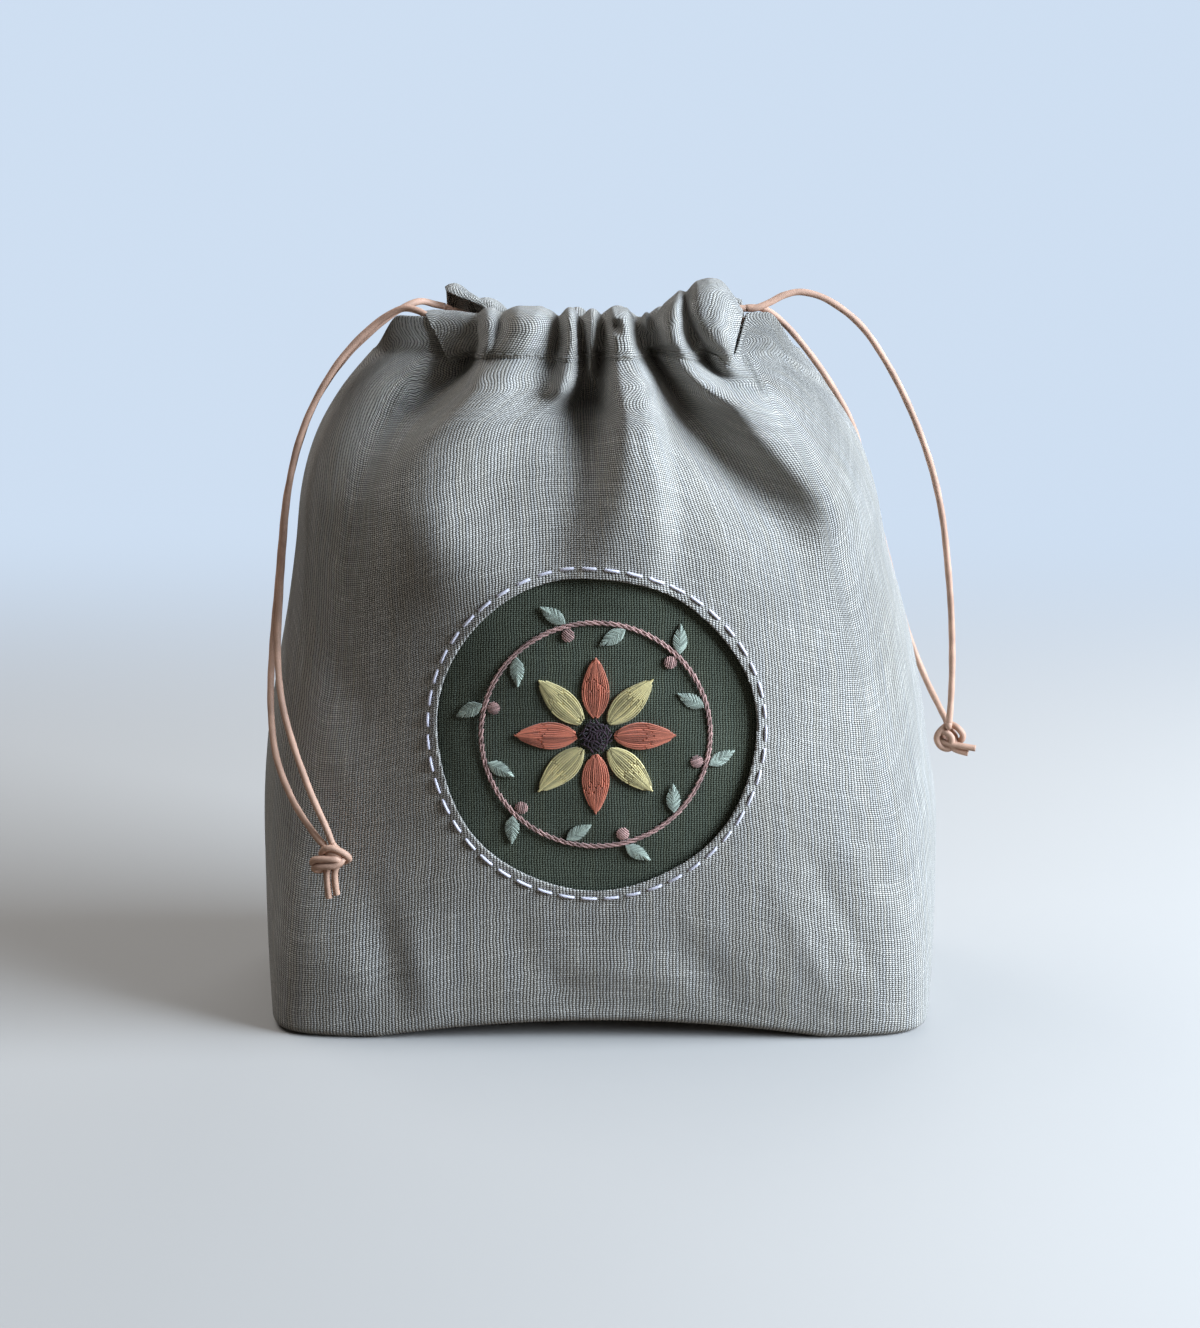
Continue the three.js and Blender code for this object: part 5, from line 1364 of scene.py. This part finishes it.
class BAG_OT_embroidery(bpy.types.Operator):
    """Star and wreath in satin, fishbone and stem stitch"""
    bl_idname = "bag.embroidery"
    bl_label = "Embroidery"

    def execute(self, context):
        stitching = context.scene.bag_stitching
        body = Body(context.scene.bag_sizes)
        tree = laid_thread_tree()
        loose = np.random.default_rng(11)

        def laid(x, z, lift):
            """Points on the patch at places from the window's middle, raised by lift."""
            points, _ = body.on_face(FRONT, x + body.window[0], z + body.window[1], 1.45 - lift)
            return points

        def turned(along, across, start, heading):
            """Places along a heading and across it, from a start."""
            way = toward(heading)
            return (start[0] + along * way[0] + across * -way[1],
                    start[1] + along * way[1] + across * way[0])

        def ray(heading):
            """Long and short satin threads that fill one ray of the star."""
            threads = []
            for layer, (rows, lift) in enumerate([(15, 0.3), (13, 0.5)]):
                for row in np.linspace(-0.94, 0.94, rows):
                    first = 0.02 + 0.1 * loose.random()
                    last = 0.98 - 0.1 * abs(row) - 0.06 * loose.random()
                    spans = [(first, last)]
                    if layer:
                        cut = 0.42 + 0.2 * loose.random()
                        spans = [(first, cut), (cut + 0.03, last)]
                    for low, high in spans:
                        t = np.linspace(low, high, 9)
                        width = RAY_WIDTH * np.sin(np.pi * t ** 0.8)
                        crown = lift + 0.35 * (1 - row ** 2) * np.sin(np.pi * t)
                        x, z = turned(RAY_LENGTH * t, row * width, RAY_START * toward(heading),
                                      heading)
                        threads.append(laid(x, z, crown + 0.05 * loose.random()))
            return threads

        def leaf(start, heading):
            """Slanting threads from the midrib to both edges, as in fishbone stitch."""
            threads = []
            for place in np.linspace(0.04, 0.86, 15):
                for hand in (-1, 1):
                    tip = min(0.99, place + 0.16 + 0.05 * loose.random())
                    t = np.linspace(0, 1, 6)
                    along = LEAF_LENGTH * (place - 0.05 + (tip - place + 0.05) * t)
                    edge = LEAF_WIDTH * math.sin(math.pi * tip ** 0.8)
                    across = hand * (-0.18 + (edge + 0.18) * t ** 0.85)
                    x, z = turned(along, across, start, heading)
                    threads.append(laid(x, z, 0.32 + 0.3 * (1 - t ** 2) + 0.04 * loose.random()))
            return threads

        def dot(x, z, radius, tilt):
            """Parallel satin threads across a dot."""
            threads = []
            for row in np.linspace(-0.88, 0.88, int(radius / 0.24)):
                reach = radius * math.sqrt(1 - row ** 2)
                t = np.linspace(-1, 1, 6)
                px, pz = turned(reach * t, np.full(6, row * radius), (x, z), tilt)
                threads.append(laid(px, pz, 0.3 + 0.45 * (1 - row ** 2) * (1 - 0.8 * t ** 2)))
            return threads

        def eye(count=64):
            """Short stitches that cross each other in the star's middle."""
            threads = []
            for step in range(count):
                radius = 4.3 * math.sqrt((step + 0.5) / count)
                turn = step * 2 * math.pi * GOLDEN
                heading = turn + 0.8 * loose.random() + (0.4 if step % 2 else 1.6)
                t = np.linspace(-1.05, 1.05, 5)
                px, pz = turned(t, np.zeros(5), radius * toward(turn), heading)
                lift = 0.45 + 0.35 * (1 - (radius / 4.6) ** 2) + 0.25 * (1 - t ** 2)
                threads.append(laid(px, pz, lift))
            return threads

        def stem():
            """Stem stitch: slanted threads, each starting beside the middle of the last."""
            threads = []
            t = np.linspace(-1, 1, 6)
            for step in range(STEM_STITCHES):
                for row in (-0.3, 0.3):
                    middle = 2 * math.pi * (step + 0.5 * (row > 0)) / STEM_STITCHES
                    turn, radius = middle + t * 0.052, WREATH + row + 0.3 * t
                    threads.append(laid(radius * np.cos(turn), radius * np.sin(turn),
                                        0.3 + 0.35 * (1 - t ** 2)))
            return threads

        rust, straw = [[path for step in range(first, 8, 2)
                        for path in ray(math.pi / 2 + step * math.pi / 4)] for first in (0, 1)]
        leaves, berries = [], []
        for step in range(LEAVES):
            angle = 2 * math.pi * (step + 0.5) / LEAVES + math.pi / 2
            outward = 1 if step % 2 == 0 else -1
            heading = angle + (0.75 if outward > 0 else math.pi - 0.75)
            leaves += leaf((WREATH + outward) * toward(angle), heading)
        for step in range(BERRIES):
            angle = 2 * math.pi * (step + 0.25) / BERRIES + math.pi / 2
            berries += dot(*(BERRY_RING * toward(angle)), BERRY_RADIUS, angle + 0.6)
        works = [
            ("star_rust_rays", rust, "rust_thread", [f"star_ray_{n}" for n in (1, 3, 5, 7)]),
            ("star_straw_rays", straw, "straw_thread", [f"star_ray_{n}" for n in (2, 4, 6, 8)]),
            ("star_middle", eye(), "aubergine_thread", ["star_eye"]),
            ("wreath_leaves", leaves, "sage_thread", [f"wreath_leaf_{n}" for n in range(1, 13)]),
            ("wreath_ring", stem(), "rose_thread", ["wreath_stem"]),
            ("wreath_berries", berries, "rose_thread", [f"wreath_berry_{n}" for n in range(1, 7)]),
        ]
        for name, threads, colour, nodes in works:
            shades = loose.uniform(-1, 1, len(threads))
            piece = grow(name, path_mesh(name, threads, shades=shades), tree, {
                "Thread thickness": stitching.satin_thickness, "End share": 0.45,
                "Section sides": 6, "Thread": finish(colour, context)})
            declare(piece, nodes, "root")
        return {"FINISHED"}


# Which point of a casing's loop the stitches follow, counted from the foot up, and how many
# loops at its left and right end have none
STITCH_ROW, LEFT_FREE, RIGHT_FREE = 3, 8, 6
# How far inside the cloth the threads of the seams lie
SEAM_DEPTH = 1.9


class BAG_OT_sewing(bpy.types.Operator):
    """Stitches at the foot of each casing, and the threads of the seams"""
    bl_idname = "bag.sewing"
    bl_label = "Sewing"

    def execute(self, context):
        body = Body(context.scene.bag_sizes)
        sewing = finish("sewing_thread", context)
        tree = stitch_row_tree()
        for casing, side, route, tops, _, end_shift in CASINGS:
            name = casing + "_stitch"
            grid = casing_grid(body, side, route, tops, 240, end_shift)[LEFT_FREE:-RIGHT_FREE]
            line = grid[:, STITCH_ROW]
            facing = np.cross(np.gradient(line, axis=0),
                              grid[:, STITCH_ROW + 1] - grid[:, STITCH_ROW - 1])
            facing /= np.linalg.norm(facing, axis=1)[:, None]
            facing *= np.sign(facing[:, 1] * side.facing)[:, None]
            stitches = grow(name + "es", path_mesh(name, [line + 0.08 * facing], [facing]), tree, {
                "Count": 52, "Stitch length": 0.0019, "Thread thickness": 0.00042,
                "Rise": 0.00016, "Unevenness": 0.1, "Seed": 7, "Thread": sewing})
            declare(stitches, [name])
            bend_with_rim(stitches)

        heights = np.linspace(12, 186, 60)
        half, centre, _, _ = body.section(heights)
        half_base, centre_base, _, _ = body.section(0)
        seams = [(f"{name}_seam_thread", np.stack([edge, 0 * heights, heights], 1))
                 for name, edge in [("left", centre - half + SEAM_DEPTH),
                                    ("right", centre + half - SEAM_DEPTH)]]
        seams.append(("base_seam_thread", np.array([
            (centre_base + (half_base - 12) * t, 0, SEAM_DEPTH) for t in np.linspace(-1, 1, 30)])))
        for name, path in seams:
            thread = link(name + "_line", make_mesh(name, *tube(path, 0.25, 8)), sewing)
            declare(thread, [name], "root")
        return {"FINISHED"}


class BAG_PT_steps(bpy.types.Panel):
    """Sizes, and a button for each group of pieces"""
    bl_idname = "BAG_PT_steps"
    bl_label = "Drawstring Bag"
    bl_space_type = "VIEW_3D"
    bl_region_type = "UI"
    bl_category = "Drawstring Bag"

    def draw(self, context):
        for group in settings(context):
            box = self.layout.box()
            for name in group.bl_rna.properties.keys():
                if name not in ("rna_type", "name"):
                    box.prop(group, name)
        for step in STEPS:
            self.layout.operator("bag." + step)


CLASSES = [BagSizes, BagStitching, BagColours, BagStage, BAG_OT_stage, BAG_OT_laces,
           BAG_OT_panels, BAG_OT_casings, BAG_OT_linings, BAG_OT_window, BAG_OT_embroidery,
           BAG_OT_sewing, BAG_PT_steps]
STEPS = ["stage", "laces", "panels", "casings", "linings", "window", "embroidery", "sewing"]


def register():
    for group, kind, ways, rows in SETTINGS:
        for key, label, description, default in rows:
            group.__annotations__[key] = kind(
                name=label, description=description, default=default, **ways)
    for kind in CLASSES:
        bpy.utils.register_class(kind)
    for name, group in GROUPS.items():
        setattr(bpy.types.Scene, name, PointerProperty(type=group))


def unregister():
    for name in GROUPS:
        delattr(bpy.types.Scene, name)
    for kind in reversed(CLASSES):
        bpy.utils.unregister_class(kind)


def main():
    register()
    for step in STEPS:
        getattr(bpy.ops.bag, step)()


if __name__ == "__main__":
    main()
